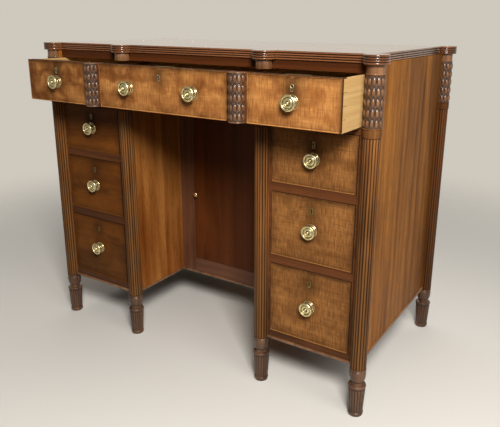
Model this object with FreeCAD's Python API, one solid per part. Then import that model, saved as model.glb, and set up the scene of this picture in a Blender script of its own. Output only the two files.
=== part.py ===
import FreeCAD, Part
import math
import os

# Kneehole dressing table desk. Sizes are in millimetres.
# It is drawn with x = 0 on the centre line, y = 0 on the axes of the front columns,
# z = 0 on the floor and the front facing -Y, and moved to its own origin on saving.

# Plan, between the axes of the turned columns
outer_axis_x = 457.0        # centre line to the axes of the corner columns
inner_axis_x = 206.5        # centre line to the axes of the columns beside the kneehole
rear_axis_y = 475.0         # front column axes to rear column axes

# Heights, stacked from the floor up
foot_height = 120.0         # floor to the underside of the carcass
base_thick = 22.0           # pedestal bottom boards
lower_opening = 174.5       # bottom drawer opening
middle_opening = 152.0
upper_opening = 125.5
divider_thick = 19.5        # rails between the pedestal drawers
frieze_rail_thick = 17.0    # rail and dust board under the frieze drawer
frieze_opening = 102.0
top_rail_height = 19.0
top_thick = 19.0

# Boards of the carcass
front_proud = 2.0           # rails and stiles stand this far before the column axes
side_inset = 2.0            # outer sides and back lie this far inside the column axes
side_thick = 18.0
knee_inset = 6.5            # kneehole faces lie this far inside the inner column axes
inner_side_thick = 16.0
back_thick = 14.0
outer_stile = 4.5           # strip beside the drawer openings at the corner columns
inner_stile = 15.0          # strip beside the drawer openings at the inner columns
stile_depth = 21.0
divider_depth = 49.0
frieze_rail_depth = 49.0
top_rail_set = 8.0          # top rail face lies this far behind the column axes
top_rail_thick = 18.0
runner_bearing = 15.0       # width of runner under a drawer side
guide_height = 25.0
stop_clearance = 4.0        # a stop below the drawer's bottom board
stop_length = 14.0
stop_width = 22.0
stop_from_edge = 45.0       # drawer opening edge to the near side of a stop

# Top board with reeded edge
top_edge_inset = 5.0        # straight edges lie this far inside the column axes
turret_radius = 26.0
top_reeds = 4
top_groove_width = 1.2
top_groove_depth = 1.6

# Turned columns
shaft_radius = 18.5
reed_count = 18
reed_depth = 1.5
shaft_foot_drop = 2.0       # the reeds start this far below the underside of the carcass
carved_radius = 20.0
neck_radius = 18.0
collar_radius = 20.0
collar_drop = 2.0           # collar reaches this far below the frieze rail

# Turned feet
toe_radius = 16.5
toe_height = 12.0
peg_low_radius = 16.0
peg_high_radius = 19.5
peg_top = 70.0              # floor to the top of the reeded peg
foot_collar_radius = 20.3
foot_collar_height = 9.0
waist_radius = 13.0
waist_height = 7.0
bulb_radius = 18.8
ring_radius = 17.5

# Drawers
drawer_pull = 98.5          # the frieze drawer stands open by this much
front_thick = 19.0
bead_proud = 1.0            # cockbead stands this far before the rails
bead_width = 2.5
drawer_clearance = 0.8      # at each side of a pedestal drawer, and above its front
frieze_clearance = 1.5      # at each end of the frieze drawer
front_lift = 1.0            # underside of a drawer front above its rail
drawer_side_thick = 9.0
drawer_side_drop = 8.0      # top of a drawer side below the top of its front
frieze_side_drop = 1.0      # the same on the frieze drawer
drawer_back_thick = 9.0
drawer_bottom_thick = 7.0
drawer_bottom_lift = 9.0    # bottom board above the lower edge of the sides
drawer_back_gap = 20.0      # back of a drawer to the back board

# Brass
knob_radius = 16.5
knob_projection = 20.0
knob_neck_radius = 6.0
knob_rim_thick = 6.0
rose_radius = 15.0
rose_thick = 3.4
frieze_middle_knob_x = 92.0
escutcheon_height = 14.0
escutcheon_width = 8.0
escutcheon_thick = 0.8
escutcheon_thread = 1.3     # width of the brass round the keyhole
frieze_key_drop = 24.0      # top of the frieze opening to a keyhole
pedestal_key_drop = 32.0    # top of a drawer opening to its keyhole
lock_width = 56.0
lock_height = 34.0
lock_thick = 9.0

# Bead moulding round the lower edge of the carcass
moulding_height = 7.0
moulding_proud = 3.5
moulding_clearance = 0.3    # end of a bead to a column

# Kneehole cupboard
cupboard_set = 202.5        # column axes to the cupboard face
cupboard_frame_thick = 20.0
cupboard_stile = 47.5
cupboard_bottom_rail = 48.0
cupboard_top_rail = 44.0
cupboard_floor_thick = 18.0
door_gap = 0.9
door_stop_lap = 12.0
door_stop_thick = 8.0
door_knob_radius = 7.0
door_knob_projection = 16.0
door_knob_from_edge = 13.0
door_knob_height = 368.0
hinge_length = 54.0
hinge_leaf_margin = 5.0     # leaf to the back of the door
hinge_leaf_thick = 1.6
hinge_knuckle_radius = 3.4
hinge_stand = 0.4           # barrel clear of the door face
hinge_pin_radius = 1.5
hinge_pin_head = 2.8
hinge_bore_clearance = 0.3
hinge_from_end = 62.0       # door end to the near end of a hinge

# Levels
base_top = foot_height + base_thick
lower_top = base_top + lower_opening
middle_floor = lower_top + divider_thick
middle_top = middle_floor + middle_opening
upper_floor = middle_top + divider_thick
upper_top = upper_floor + upper_opening
frieze_floor = upper_top + frieze_rail_thick
frieze_top = frieze_floor + frieze_opening
top_under = frieze_top + top_rail_height
total_height = top_under + top_thick
# Each drawer opening of a pedestal: name, lower level, upper level
openings = [
    ("upper_drawer", upper_floor, upper_top),
    ("middle_drawer", middle_floor, middle_top),
    ("lower_drawer", base_top, lower_top),
]

# Planes
face_y = -front_proud                           # rails and stiles
bead_y = face_y - bead_proud                    # crest of the cockbead on closed drawers
front_back_y = face_y + front_thick             # back of a closed drawer front
side_face_x = outer_axis_x - side_inset         # outside of the outer sides
side_inner_x = side_face_x - side_thick
knee_x = inner_axis_x - knee_inset              # kneehole faces of the inner sides
inner_board_x = knee_x + inner_side_thick
opening_in_x = inner_board_x + inner_stile      # drawer opening edges
opening_out_x = side_inner_x - outer_stile
opening_mid_x = (opening_in_x + opening_out_x) / 2
back_face_y = rear_axis_y - side_inset
back_inner_y = back_face_y - back_thick
drawer_back_y = back_inner_y - drawer_back_gap
frieze_end_x = min(outer_axis_x - carved_radius, side_inner_x) - frieze_clearance

# The origin is at floor level, in the middle of the box round the desk with its drawer open
front_reach = bead_y - drawer_pull - (knob_projection - bead_proud)
rear_reach = rear_axis_y + turret_radius
origin_y = (front_reach + rear_reach) / 2

os.makedirs("parts", exist_ok=True)
SIDES = (("left", -1), ("right", 1))


def save(name, *solids):
    """Write the solids of one node, moved to the desk's own origin."""
    placed = []
    for solid in solids:
        copy = solid.copy()
        copy.translate(FreeCAD.Vector(0, -origin_y, 0))
        placed.append(copy)
    shape = placed[0] if len(placed) == 1 else Part.makeCompound(placed)
    shape.exportStep("parts/" + name + ".step")


def box(x, y, z):
    """A board between the low and high value of each axis, given in either order."""
    low = FreeCAD.Vector(min(x), min(y), min(z))
    return Part.makeBox(max(x) - min(x), max(y) - min(y), max(z) - min(z), low)


def mirrored(solid):
    """The same piece on the other side of the centre line."""
    return solid.mirror(FreeCAD.Vector(0, 0, 0), FreeCAD.Vector(1, 0, 0))


def on_side(solid, sign):
    """A piece drawn on the right, for the side that the sign gives."""
    return solid if sign > 0 else mirrored(solid)


def turned(profile):
    """A solid of revolution round Z. The profile goes up the outside as (radius, height);
    a third and fourth value are a point that an arc from the last point passes through."""
    start = FreeCAD.Vector(0, 0, profile[0][1])
    last = FreeCAD.Vector(profile[0][0], 0, profile[0][1])
    edges = [Part.makeLine(start, last)]
    for step in profile[1:]:
        point = FreeCAD.Vector(step[0], 0, step[1])
        if len(step) == 4:
            through = FreeCAD.Vector(step[2], 0, step[3])
            edges.append(Part.Arc(last, through, point).toShape())
        else:
            edges.append(Part.makeLine(last, point))
        last = point
    end = FreeCAD.Vector(0, 0, last.z)
    edges.append(Part.makeLine(last, end))
    edges.append(Part.makeLine(end, start))
    face = Part.Face(Part.Wire(edges))
    return face.revolve(FreeCAD.Vector(0, 0, 0), FreeCAD.Vector(0, 0, 1), 360)


def facing_front(solid, x, y, z):
    """Turn a piece made round Z so that it projects towards the front, and place it."""
    solid.rotate(FreeCAD.Vector(0, 0, 0), FreeCAD.Vector(1, 0, 0), 90)
    solid.translate(FreeCAD.Vector(x, y, z))
    return solid


def reed_wire(crest, depth, height):
    """A ring of round reeds: one arc for each, from valley over crest to valley."""
    def ring_point(radius, turn):
        angle = 2 * math.pi * turn / reed_count
        return FreeCAD.Vector(radius * math.cos(angle), radius * math.sin(angle), height)
    edges = []
    for reed in range(reed_count):
        low = ring_point(crest - depth, reed - 0.5)
        top = ring_point(crest, reed)
        high = ring_point(crest - depth, reed + 0.5)
        edges.append(Part.Arc(low, top, high).toShape())
    return Part.Wire(edges)


def foot():
    """Toe, reeded tapering peg, collar, waist, bulb and ring, up to the reeded shaft."""
    toe_round = toe_height / 4
    toe = turned([
        (toe_radius - toe_round, 0),
        (toe_radius, toe_round, toe_radius - toe_round * 0.3, toe_round * 0.3),
        (toe_radius, toe_height - toe_round),
        (toe_radius - toe_round, toe_height, toe_radius - toe_round * 0.3, toe_height - toe_round * 0.3),
    ])
    peg = Part.makeLoft([
        reed_wire(peg_low_radius, reed_depth, toe_height),
        reed_wire(peg_high_radius, reed_depth, peg_top),
    ], True, True)
    collar_mid = peg_top + foot_collar_height / 2
    collar_top = peg_top + foot_collar_height
    waist_top = collar_top + waist_height
    shaft_low = foot_height - shaft_foot_drop
    bulb_mid = waist_top + (shaft_low - waist_top) * 0.4
    bulb_low = waist_top + (bulb_mid - waist_top) * 0.4
    neck_fall = (bulb_radius - waist_radius) * 0.35
    upper = turned([
        (peg_high_radius - reed_depth, peg_top),
        (waist_radius, collar_top, foot_collar_radius, collar_mid),
        (waist_radius, waist_top),
        (bulb_radius, bulb_mid, bulb_radius - neck_fall, bulb_low),
        (ring_radius, shaft_low),
    ])
    return [toe, peg, upper]


def shaft(top):
    """The reeded length of a column, from above the foot to a level."""
    low = foot_height - shaft_foot_drop
    face = Part.Face(reed_wire(shaft_radius, reed_depth, low))
    return face.extrude(FreeCAD.Vector(0, 0, top - low))


def drum(radius, low, high):
    """A plain round length of a column."""
    return Part.makeCylinder(radius, high - low, FreeCAD.Vector(0, 0, low))


def column(corner, x, y):
    """One column with its foot, round axis x, y; a corner column goes up to the top board."""
    collar_low = upper_top - collar_drop
    pieces = foot() + [shaft(collar_low), drum(collar_radius, collar_low, frieze_floor)]
    if corner:
        pieces.append(drum(carved_radius, frieze_floor, frieze_top))
        pieces.append(drum(neck_radius, frieze_top, top_under))
    whole = pieces[0].multiFuse(pieces[1:])
    whole.translate(FreeCAD.Vector(x, y, 0))
    return whole


far = 4 * (shaft_radius + carved_radius)        # reaches past a column on any side


def front_corner_column():
    """The right front column, rebated over the corner of the carcass."""
    rebate = box((side_face_x, outer_axis_x - far), (face_y, far), (foot_height, top_under))
    return column(True, outer_axis_x, 0).cut(rebate)


def rear_corner_column():
    """The right rear column, rebated over the corner of the carcass."""
    back_low = rear_axis_y - far
    rebate = box((side_face_x, outer_axis_x - far), (back_face_y, back_low), (foot_height, top_under))
    return column(True, outer_axis_x, rear_axis_y).cut(rebate)


def inner_column():
    """The column right of the kneehole, rebated over the inner side and the frieze rail."""
    side = box((knee_x, inner_axis_x + far), (face_y, far), (foot_height, upper_top))
    rail = box((inner_axis_x - far, inner_axis_x + far), (face_y, far), (upper_top, frieze_floor))
    return column(False, inner_axis_x, 0).cut(side).cut(rail)


def top_outline(inset, low, high):
    """The plan of the top board, set in by a little: a rectangle with six round turrets."""
    edge_x = outer_axis_x - top_edge_inset - inset
    front_y = top_edge_inset + inset
    rear_y = rear_axis_y - top_edge_inset - inset
    slab = box((-edge_x, edge_x), (front_y, rear_y), (low, high))
    turrets = []
    for x, y in ((outer_axis_x, 0), (inner_axis_x, 0), (outer_axis_x, rear_axis_y)):
        for sign in (-1, 1):
            centre = FreeCAD.Vector(sign * x, y, low)
            turrets.append(Part.makeCylinder(turret_radius - inset, high - low, centre))
    return slab.multiFuse(turrets).removeSplitter()


def top_board():
    """The top, with grooves that leave a row of reeds along its whole edge."""
    board = top_outline(0, top_under, total_height)
    for groove in range(1, top_reeds):
        middle = top_under + top_thick * groove / top_reeds
        low = middle - top_groove_width / 2
        high = middle + top_groove_width / 2
        ring = top_outline(0, low, high).cut(top_outline(top_groove_depth, low, high))
        board = board.cut(ring)
    return board


def knob(radius, projection, neck, rim):
    """A turned knob face with a raised rim and a boss, on a narrow neck."""
    back = projection - rim
    rim_low = back + rim * 0.3
    face = projection - rim * 0.3
    return turned([
        (neck, rose_thick),
        (neck, back - rim * 0.3),
        (radius * 0.94, back),
        (radius * 0.9, face, radius, (rim_low + face) / 2),
        (radius * 0.72, face - rim * 0.3),
        (radius * 0.36, face - rim * 0.3),
        (radius * 0.3, projection, radius * 0.34, face),
    ])


def rose(radius):
    """The stepped disc between a knob and the wood."""
    step = rose_thick / 2
    return turned([(radius, 0), (radius, step), (radius * 0.76, step), (radius * 0.7, rose_thick)])


def knob_and_rose(x, y, z):
    """A drawer knob and its rose, standing on a face at y."""
    turned_knob = knob(knob_radius, knob_projection, knob_neck_radius, knob_rim_thick)
    return [facing_front(turned_knob, x, y, z), facing_front(rose(rose_radius), x, y, z)]


def keyhole(grow, thick):
    """A keyhole's outline, a round eye over a slot, set out by grow and given a thickness."""
    eye_radius = escutcheon_width / 2 - escutcheon_thread
    eye_height = (escutcheon_height - escutcheon_width) / 2
    slot_half = eye_radius / 2 + grow
    slot_low = escutcheon_thread - escutcheon_height / 2 - grow
    eye = Part.makeCylinder(eye_radius + grow, thick, FreeCAD.Vector(0, eye_height, 0))
    slot = box((-slot_half, slot_half), (slot_low, eye_height), (0, thick))
    return eye.fuse(slot).removeSplitter()


def escutcheon(x, y, z):
    """A thread of brass round a keyhole, let onto a face at y."""
    thread = keyhole(escutcheon_thread, escutcheon_thick).cut(keyhole(0, escutcheon_thick))
    return facing_front(thread, x, y, z)


def lock(x, y, top):
    """The lock case on the back of a drawer front, level with the front's upper edge."""
    return box((x - lock_width / 2, x + lock_width / 2), (y, y + lock_thick), (top - lock_height, top))


def drawer_front(x, y_face, z, strips):
    """A drawer front whose edges stand proud as a cockbead; the strips stay level with it."""
    crest = y_face - bead_proud
    board = box(x, (crest, y_face + front_thick), z)
    marks = [min(x) + bead_width]
    for low, high in strips:
        marks += [low, high]
    marks.append(max(x) - bead_width)
    for low, high in zip(marks[0::2], marks[1::2]):
        field = box((low, high), (crest, y_face), (min(z) + bead_width, max(z) - bead_width))
        board = board.cut(field)
    return board


def drawer_box(x, y_front, y_back, z_floor, side_top):
    """Two sides, back and bottom of a drawer, between the outer faces x and behind its front."""
    low_x, high_x = min(x), max(x)
    left = box((low_x, low_x + drawer_side_thick), (y_front, y_back), (z_floor, side_top))
    right = box((high_x, high_x - drawer_side_thick), (y_front, y_back), (z_floor, side_top))
    inside = (low_x + drawer_side_thick, high_x - drawer_side_thick)
    bottom_z = z_floor + drawer_bottom_lift
    bottom_top = bottom_z + drawer_bottom_thick
    back = box(inside, (y_back - drawer_back_thick, y_back), (bottom_top, side_top))
    bottom = box(inside, (y_front, y_back), (bottom_z, bottom_top))
    return left, right, back, bottom


# Top and upper rails
save("top_board", top_board())
rail_back_y = top_rail_set + top_rail_thick
save("top_rail", box((-side_inner_x, side_inner_x), (top_rail_set, rail_back_y), (frieze_top, top_under)))
neck = Part.makeCylinder(neck_radius, top_rail_height, FreeCAD.Vector(inner_axis_x, 0, frieze_top))
neck = neck.cut(box((inner_axis_x - far, inner_axis_x + far), (top_rail_set, far), (frieze_top, top_under)))
save("neck_blocks", neck, mirrored(neck))
frieze_rail_back = face_y + frieze_rail_depth
save("frieze_rail", box((-side_inner_x, side_inner_x), (face_y, frieze_rail_back), (upper_top, frieze_floor)))
dust_y = (frieze_rail_back, back_inner_y)
save("dust_board", box((-side_inner_x, side_inner_x), dust_y, (upper_top, frieze_floor)))

# Sides and back
outer_side = box((side_inner_x, side_face_x), (face_y, back_face_y), (foot_height, top_under))
inner_side = box((knee_x, inner_board_x), (face_y, back_inner_y), (foot_height, upper_top))
for side, sign in SIDES:
    save(side + "_outer_side", on_side(outer_side, sign))
    save(side + "_inner_side", on_side(inner_side, sign))
save("back_board", box((-side_inner_x, side_inner_x), (back_inner_y, back_face_y), (foot_height, top_under)))

# Columns
front_column = front_corner_column()
rear_column = rear_corner_column()
knee_column = inner_column()
for side, sign in SIDES:
    save("front_" + side + "_column", on_side(front_column, sign))
    save("rear_" + side + "_column", on_side(rear_column, sign))
    save("inner_" + side + "_column", on_side(knee_column, sign))

# Pedestal bottoms, stiles and dividers
bottom_board = box((inner_board_x, side_inner_x), (face_y, back_inner_y), (foot_height, base_top))
for side, sign in SIDES:
    save(side + "_pedestal_bottom", on_side(bottom_board, sign))
stile_y = (face_y, face_y + stile_depth)
stile_z = (base_top, upper_top)
inner_strip = box((inner_board_x, opening_in_x), stile_y, stile_z)
outer_strip = box((opening_out_x, side_inner_x), stile_y, stile_z)
save("drawer_stiles", inner_strip, outer_strip, mirrored(inner_strip), mirrored(outer_strip))
divider_y = (face_y, face_y + divider_depth)
dividers = []
for low in (lower_top, middle_top):
    rail = box((opening_in_x, opening_out_x), divider_y, (low, low + divider_thick))
    dividers += [rail, mirrored(rail)]
save("drawer_dividers", *dividers)

# Runners under the drawer sides, guides beside them and stops behind the fronts
runners = []
guides = []
stops = []
for name, low, high in openings:
    run_y = (max(divider_y), back_inner_y)
    guide_y = (max(stile_y), back_inner_y)
    if low > base_top:
        run_z = (low - divider_thick, low)
        runners.append(box((inner_board_x, opening_in_x + runner_bearing), run_y, run_z))
        runners.append(box((side_inner_x, opening_out_x - runner_bearing), run_y, run_z))
    guides.append(box((inner_board_x, opening_in_x), guide_y, (low, low + guide_height)))
    guides.append(box((opening_out_x, side_inner_x), guide_y, (low, low + guide_height)))
    stop_y = (front_back_y, front_back_y + stop_length)
    stop_z = (low, low + drawer_bottom_lift - stop_clearance)
    for near in (opening_in_x + stop_from_edge, opening_out_x - stop_from_edge - stop_width):
        stops.append(box((near, near + stop_width), stop_y, stop_z))
frieze_stop = frieze_end_x - stop_from_edge
stops.append(box((frieze_stop, frieze_stop - stop_width), (front_back_y, front_back_y + stop_length),
                 (frieze_floor, frieze_floor + drawer_bottom_lift - stop_clearance)))
save("drawer_runners", *runners, *[mirrored(piece) for piece in runners])
save("drawer_guides", *guides, *[mirrored(piece) for piece in guides])
save("drawer_stops", *stops, *[mirrored(piece) for piece in stops])

# Bead moulding along the lower edges, stopping just clear of the round columns
moulding_z = (foot_height, foot_height + moulding_height)
column_clear = shaft_radius + moulding_clearance


def half_round(start, end, out):
    """A half-round bead on a face from start to end, as (x, y), standing out along a direction."""
    base = FreeCAD.Vector(start[0], start[1], min(moulding_z))
    up = FreeCAD.Vector(0, 0, moulding_height)
    middle = base + up * 0.5 + FreeCAD.Vector(out[0], out[1], 0) * moulding_proud
    section = Part.Wire([Part.Arc(base, middle, base + up).toShape(), Part.makeLine(base + up, base)])
    return Part.Face(section).extrude(FreeCAD.Vector(end[0] - start[0], end[1] - start[1], 0))


front_bead = half_round((inner_axis_x + column_clear, face_y), (outer_axis_x - column_clear, face_y), (0, -1))
side_bead = half_round((side_face_x, column_clear), (side_face_x, rear_axis_y - column_clear), (1, 0))
knee_bead = half_round((knee_x, column_clear), (knee_x, cupboard_set - moulding_proud), (-1, 0))
cupboard_bead = half_round((-knee_x, cupboard_set), (knee_x, cupboard_set), (0, -1))
save("base_beads", front_bead, mirrored(front_bead), side_bead, mirrored(side_bead),
     knee_bead, mirrored(knee_bead), cupboard_bead)

# Kneehole cupboard frame
frame_y = (cupboard_set, cupboard_set + cupboard_frame_thick)
frame_back_y = cupboard_set + cupboard_frame_thick
door_left_x = -knee_x + cupboard_stile
door_right_x = knee_x - cupboard_stile
door_low = foot_height + cupboard_bottom_rail
door_high = upper_top - cupboard_top_rail
hinge_levels = (door_low + hinge_from_end, door_high - hinge_from_end - hinge_length)
hinge_x = door_right_x - door_gap / 2
hinge_y = cupboard_set - hinge_knuckle_radius - hinge_stand
leaf_y = (hinge_y, frame_back_y - hinge_leaf_margin)


def hinge_leaf(edge, inward, level):
    """The flat leaf let into an edge at x, on the side that inward gives."""
    return box((edge, edge + inward * hinge_leaf_thick), leaf_y, (level, level + hinge_length))


def knuckle(low, high):
    """A length of hinge barrel with its bore."""
    base = FreeCAD.Vector(hinge_x, hinge_y, low)
    barrel = Part.makeCylinder(hinge_knuckle_radius, high - low, base)
    return barrel.cut(bore(low, high))


def barrel_room(low, high):
    """The space before the cupboard face that the other leaf's barrel turns in."""
    return box((hinge_x - far, hinge_x + far), (hinge_y - far, cupboard_set), (low, high))


def bore(low, high):
    """The hole for the hinge pin."""
    radius = hinge_pin_radius + hinge_bore_clearance
    return Part.makeCylinder(radius, high - low, FreeCAD.Vector(hinge_x, hinge_y, low))


cupboard_stile_right = box((door_right_x, knee_x), frame_y, (foot_height, upper_top))
cupboard_stile_left = mirrored(cupboard_stile_right)
door_edge = door_right_x - door_gap
door = box((door_left_x + door_gap, door_edge), frame_y, (door_low + door_gap, door_high - door_gap))
frame_leaves = []
door_leaves = []
pins = []
for level in hinge_levels:
    third = hinge_length / 3
    gap = hinge_bore_clearance
    top = level + hinge_length
    frame_flat = hinge_leaf(door_right_x, 1, level)
    door_flat = hinge_leaf(door_edge, -1, level)
    cupboard_stile_right = cupboard_stile_right.cut(frame_flat)
    door = door.cut(door_flat)
    lower_end = (level, level + third)
    upper_end = (top - third, top)
    frame_leaf = frame_flat.cut(barrel_room(level + third - gap, top - third + gap))
    frame_leaf = frame_leaf.multiFuse([knuckle(*lower_end), knuckle(*upper_end)])
    lower_room = barrel_room(level, level + third + gap)
    upper_room = barrel_room(top - third - gap, top)
    door_leaf = door_flat.cut(lower_room).cut(upper_room)
    door_leaf = door_leaf.fuse(knuckle(level + third + gap, top - third - gap))
    frame_leaves.append(frame_leaf.cut(bore(level, top)))
    door_leaves.append(door_leaf.cut(bore(level, top)))
    pin = Part.makeCylinder(hinge_pin_radius, hinge_length, FreeCAD.Vector(hinge_x, hinge_y, level))
    head = Part.makeCylinder(hinge_pin_head, hinge_pin_radius, FreeCAD.Vector(hinge_x, hinge_y, top))
    pins.append(pin.fuse(head).removeSplitter())
save("cupboard_stiles", cupboard_stile_left, cupboard_stile_right)
save("cupboard_rails",
     box((door_left_x, door_right_x), frame_y, (foot_height, door_low)),
     box((door_left_x, door_right_x), frame_y, (door_high, upper_top)))
save("cupboard_bottom", box((-knee_x, knee_x), (frame_back_y, back_inner_y),
                            (foot_height, foot_height + cupboard_floor_thick)))
save("door_stop", box((door_left_x - door_stop_lap, door_left_x + door_stop_lap),
                      (frame_back_y, frame_back_y + door_stop_thick), (door_low, door_high)))
save("hinge_frame_leaves", *frame_leaves)
save("hinge_pins", *pins)

# Cupboard door
save("cupboard_door", door)
save("hinge_door_leaves", *door_leaves)
door_knob_neck = door_knob_radius * 0.4
door_knob = turned([
    (door_knob_neck, 0),
    (door_knob_neck, door_knob_projection * 0.4),
    (door_knob_radius * 0.8, door_knob_projection * 0.55),
    (door_knob_radius * 0.6, door_knob_projection, door_knob_radius, door_knob_projection * 0.8),
])
door_knob_x = door_left_x + door_knob_from_edge
save("cupboard_knob", facing_front(door_knob, door_knob_x, cupboard_set, door_knob_height))

# Frieze drawer, standing open by the pull
frieze_x = (-frieze_end_x, frieze_end_x)
frieze_face = face_y - drawer_pull
frieze_crest = bead_y - drawer_pull
frieze_front_z = (frieze_floor + front_lift, frieze_top - drawer_clearance)
strip_half = math.sqrt(carved_radius ** 2 - bead_y ** 2)
strips = [(sign * inner_axis_x - strip_half, sign * inner_axis_x + strip_half) for sign in (-1, 1)]
save("frieze_front", drawer_front(frieze_x, frieze_face, frieze_front_z, strips))
frieze_inside_y = frieze_face + front_thick
frieze_back_y = drawer_back_y - drawer_pull
frieze_boards = drawer_box(frieze_x, frieze_inside_y, frieze_back_y, frieze_floor,
                           max(frieze_front_z) - frieze_side_drop)
save("frieze_sides", frieze_boards[0], frieze_boards[1])
save("frieze_back", frieze_boards[2])
save("frieze_bottom", frieze_boards[3])
pilaster = Part.makeCylinder(carved_radius, max(frieze_front_z) - min(frieze_front_z),
                             FreeCAD.Vector(inner_axis_x, -drawer_pull, min(frieze_front_z)))
pilaster = pilaster.cut(box((inner_axis_x - far, inner_axis_x + far), (frieze_crest, far), (0, total_height)))
save("frieze_pilasters", mirrored(pilaster), pilaster)
frieze_mid_z = (frieze_floor + frieze_top) / 2
frieze_key_z = frieze_top - frieze_key_drop
knobs = []
for x in (-opening_mid_x, -frieze_middle_knob_x, frieze_middle_knob_x, opening_mid_x):
    knobs += knob_and_rose(x, frieze_face, frieze_mid_z)
save("frieze_knobs", *knobs)
key_places = (-opening_mid_x, 0, opening_mid_x)
save("frieze_escutcheons", *[escutcheon(x, frieze_face, frieze_key_z) for x in key_places])
save("frieze_locks", *[lock(x, frieze_inside_y, max(frieze_front_z)) for x in key_places])

# Pedestal drawers, closed
for side, sign in SIDES:
    for name, low, high in openings:
        node = side + "_" + name
        x = (sign * (opening_in_x + drawer_clearance), sign * (opening_out_x - drawer_clearance))
        front_z = (low + front_lift, high - drawer_clearance)
        middle_x = sign * opening_mid_x
        save(node + "_front", drawer_front(x, face_y, front_z, []))
        side_top = max(front_z) - drawer_side_drop
        save(node + "_box", *drawer_box(x, front_back_y, drawer_back_y, low, side_top))
        brass = knob_and_rose(middle_x, face_y, (low + high) / 2)
        brass.append(escutcheon(middle_x, face_y, high - pedestal_key_drop))
        brass.append(lock(middle_x, front_back_y, max(front_z)))
        save(node + "_brass", *brass)

print("width", round(2 * (outer_axis_x + turret_radius), 1), "depth", round(rear_reach - front_reach, 1),
      "height", round(total_height, 1), "origin_y", round(origin_y, 3))
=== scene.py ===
import math
from functools import partial

import bmesh
import bpy
import numpy as np
from bpy.props import FloatProperty, FloatVectorProperty, IntProperty, PointerProperty
from mathutils import Matrix, Vector


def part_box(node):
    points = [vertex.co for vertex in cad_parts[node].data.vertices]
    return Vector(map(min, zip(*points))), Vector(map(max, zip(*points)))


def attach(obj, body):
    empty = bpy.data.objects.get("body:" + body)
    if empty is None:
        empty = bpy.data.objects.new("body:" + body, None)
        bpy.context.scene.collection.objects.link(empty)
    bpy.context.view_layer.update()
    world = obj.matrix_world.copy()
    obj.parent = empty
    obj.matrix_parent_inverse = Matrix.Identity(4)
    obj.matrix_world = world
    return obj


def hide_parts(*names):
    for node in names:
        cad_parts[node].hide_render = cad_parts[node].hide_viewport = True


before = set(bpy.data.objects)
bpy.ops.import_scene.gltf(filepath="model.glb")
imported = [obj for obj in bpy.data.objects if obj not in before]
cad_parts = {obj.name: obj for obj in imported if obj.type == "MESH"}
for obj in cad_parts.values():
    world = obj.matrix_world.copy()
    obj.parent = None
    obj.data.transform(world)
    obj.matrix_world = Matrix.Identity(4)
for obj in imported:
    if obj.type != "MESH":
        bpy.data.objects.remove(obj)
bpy.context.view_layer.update()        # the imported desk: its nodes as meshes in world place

bl_info = {
    "name": "Kneehole dressing table desk",
    "version": (1, 0, 0),
    "blender": (4, 5, 0),
    "location": "3D View > Sidebar > Desk",
    "description": "Turned columns, carving, beaded drawers, brass and polish on the packed desk",
    "category": "Object",
}

MM = 0.001
X, Y, Z = 0, 1, 2
FULL_TURN = 2 * math.pi
WELD = 0.002 * MM                     # points nearer than this are one point
SHARP = math.radians(38)              # edges steeper than this stay crisp
PEDESTAL_DRAWERS = [side + level + "drawer" for side in ("left_", "right_")
                    for level in ("upper_", "middle_", "lower_")]


def linear(code):
    """An sRGB hex colour as linear red, green and blue."""
    value = np.array([int(code[place:place + 2], 16) for place in (1, 3, 5)]) / 255
    curve = np.where(value <= 0.04045, value / 12.92, ((value + 0.055) / 1.055) ** 2.4)
    return tuple(float(part) for part in curve)


def length(name, description, default):
    """A size property in metres, given in millimetres."""
    return FloatProperty(name=name, description=description, default=default * MM,
                         unit="LENGTH", precision=4)


def colour(name, description, default):
    """A colour property, given as an sRGB hex value."""
    return FloatVectorProperty(name=name, description=description, subtype="COLOR", size=3,
                               min=0, max=1, default=linear(default))


class DeskSizes(bpy.types.PropertyGroup):
    """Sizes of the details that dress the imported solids."""
    reed_count: IntProperty(name="Reeds", description="Reeds round each column", default=18)
    reed_depth: length("Reed depth", "Crest of a reed to its valley", 1.5)
    shaft_radius: length("Shaft radius", "Crest of the reeds on a column", 18.5)
    collar_radius: length("Collar radius", "Plain band under the carving", 20)
    carved_radius: length("Carved radius", "Crest of the carved leaves", 20.3)
    neck_radius: length("Neck radius", "Plain length under the top board", 18)
    leaf_count: IntProperty(name="Leaves", description="Leaves round a carved drum", default=12)
    leaf_rows: IntProperty(name="Leaf rows", description="Rows of leaves up a drum", default=5)
    leaf_relief: length("Leaf relief", "Crest of a leaf to the ground behind it", 3.8)
    turret_radius: length("Turret radius", "Round parts of the top over the columns", 26)
    top_edge_set: length("Top edge", "Straight edge of the top inside the column axes", 5)
    top_reeds: IntProperty(name="Top reeds", description="Reeds on the edge of the top", default=4)
    top_reed_depth: length("Top reed depth", "Crest to valley of the reeds on the top", 1.7)
    bead_width: length("Cockbead width", "Bead round a drawer front", 2.5)
    bead_proud: length("Cockbead height", "Bead above the face of a drawer front", 1)
    knob_radius: length("Knob radius", "Rim of a drawer knob", 16.5)
    frieze_knob_x: length("Middle knobs", "Centre line to the middle knobs of the wide drawer", 92)
    pedestal_key_drop: length("Keyhole drop", "Top edge of a drawer front to its keyhole", 31)


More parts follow.
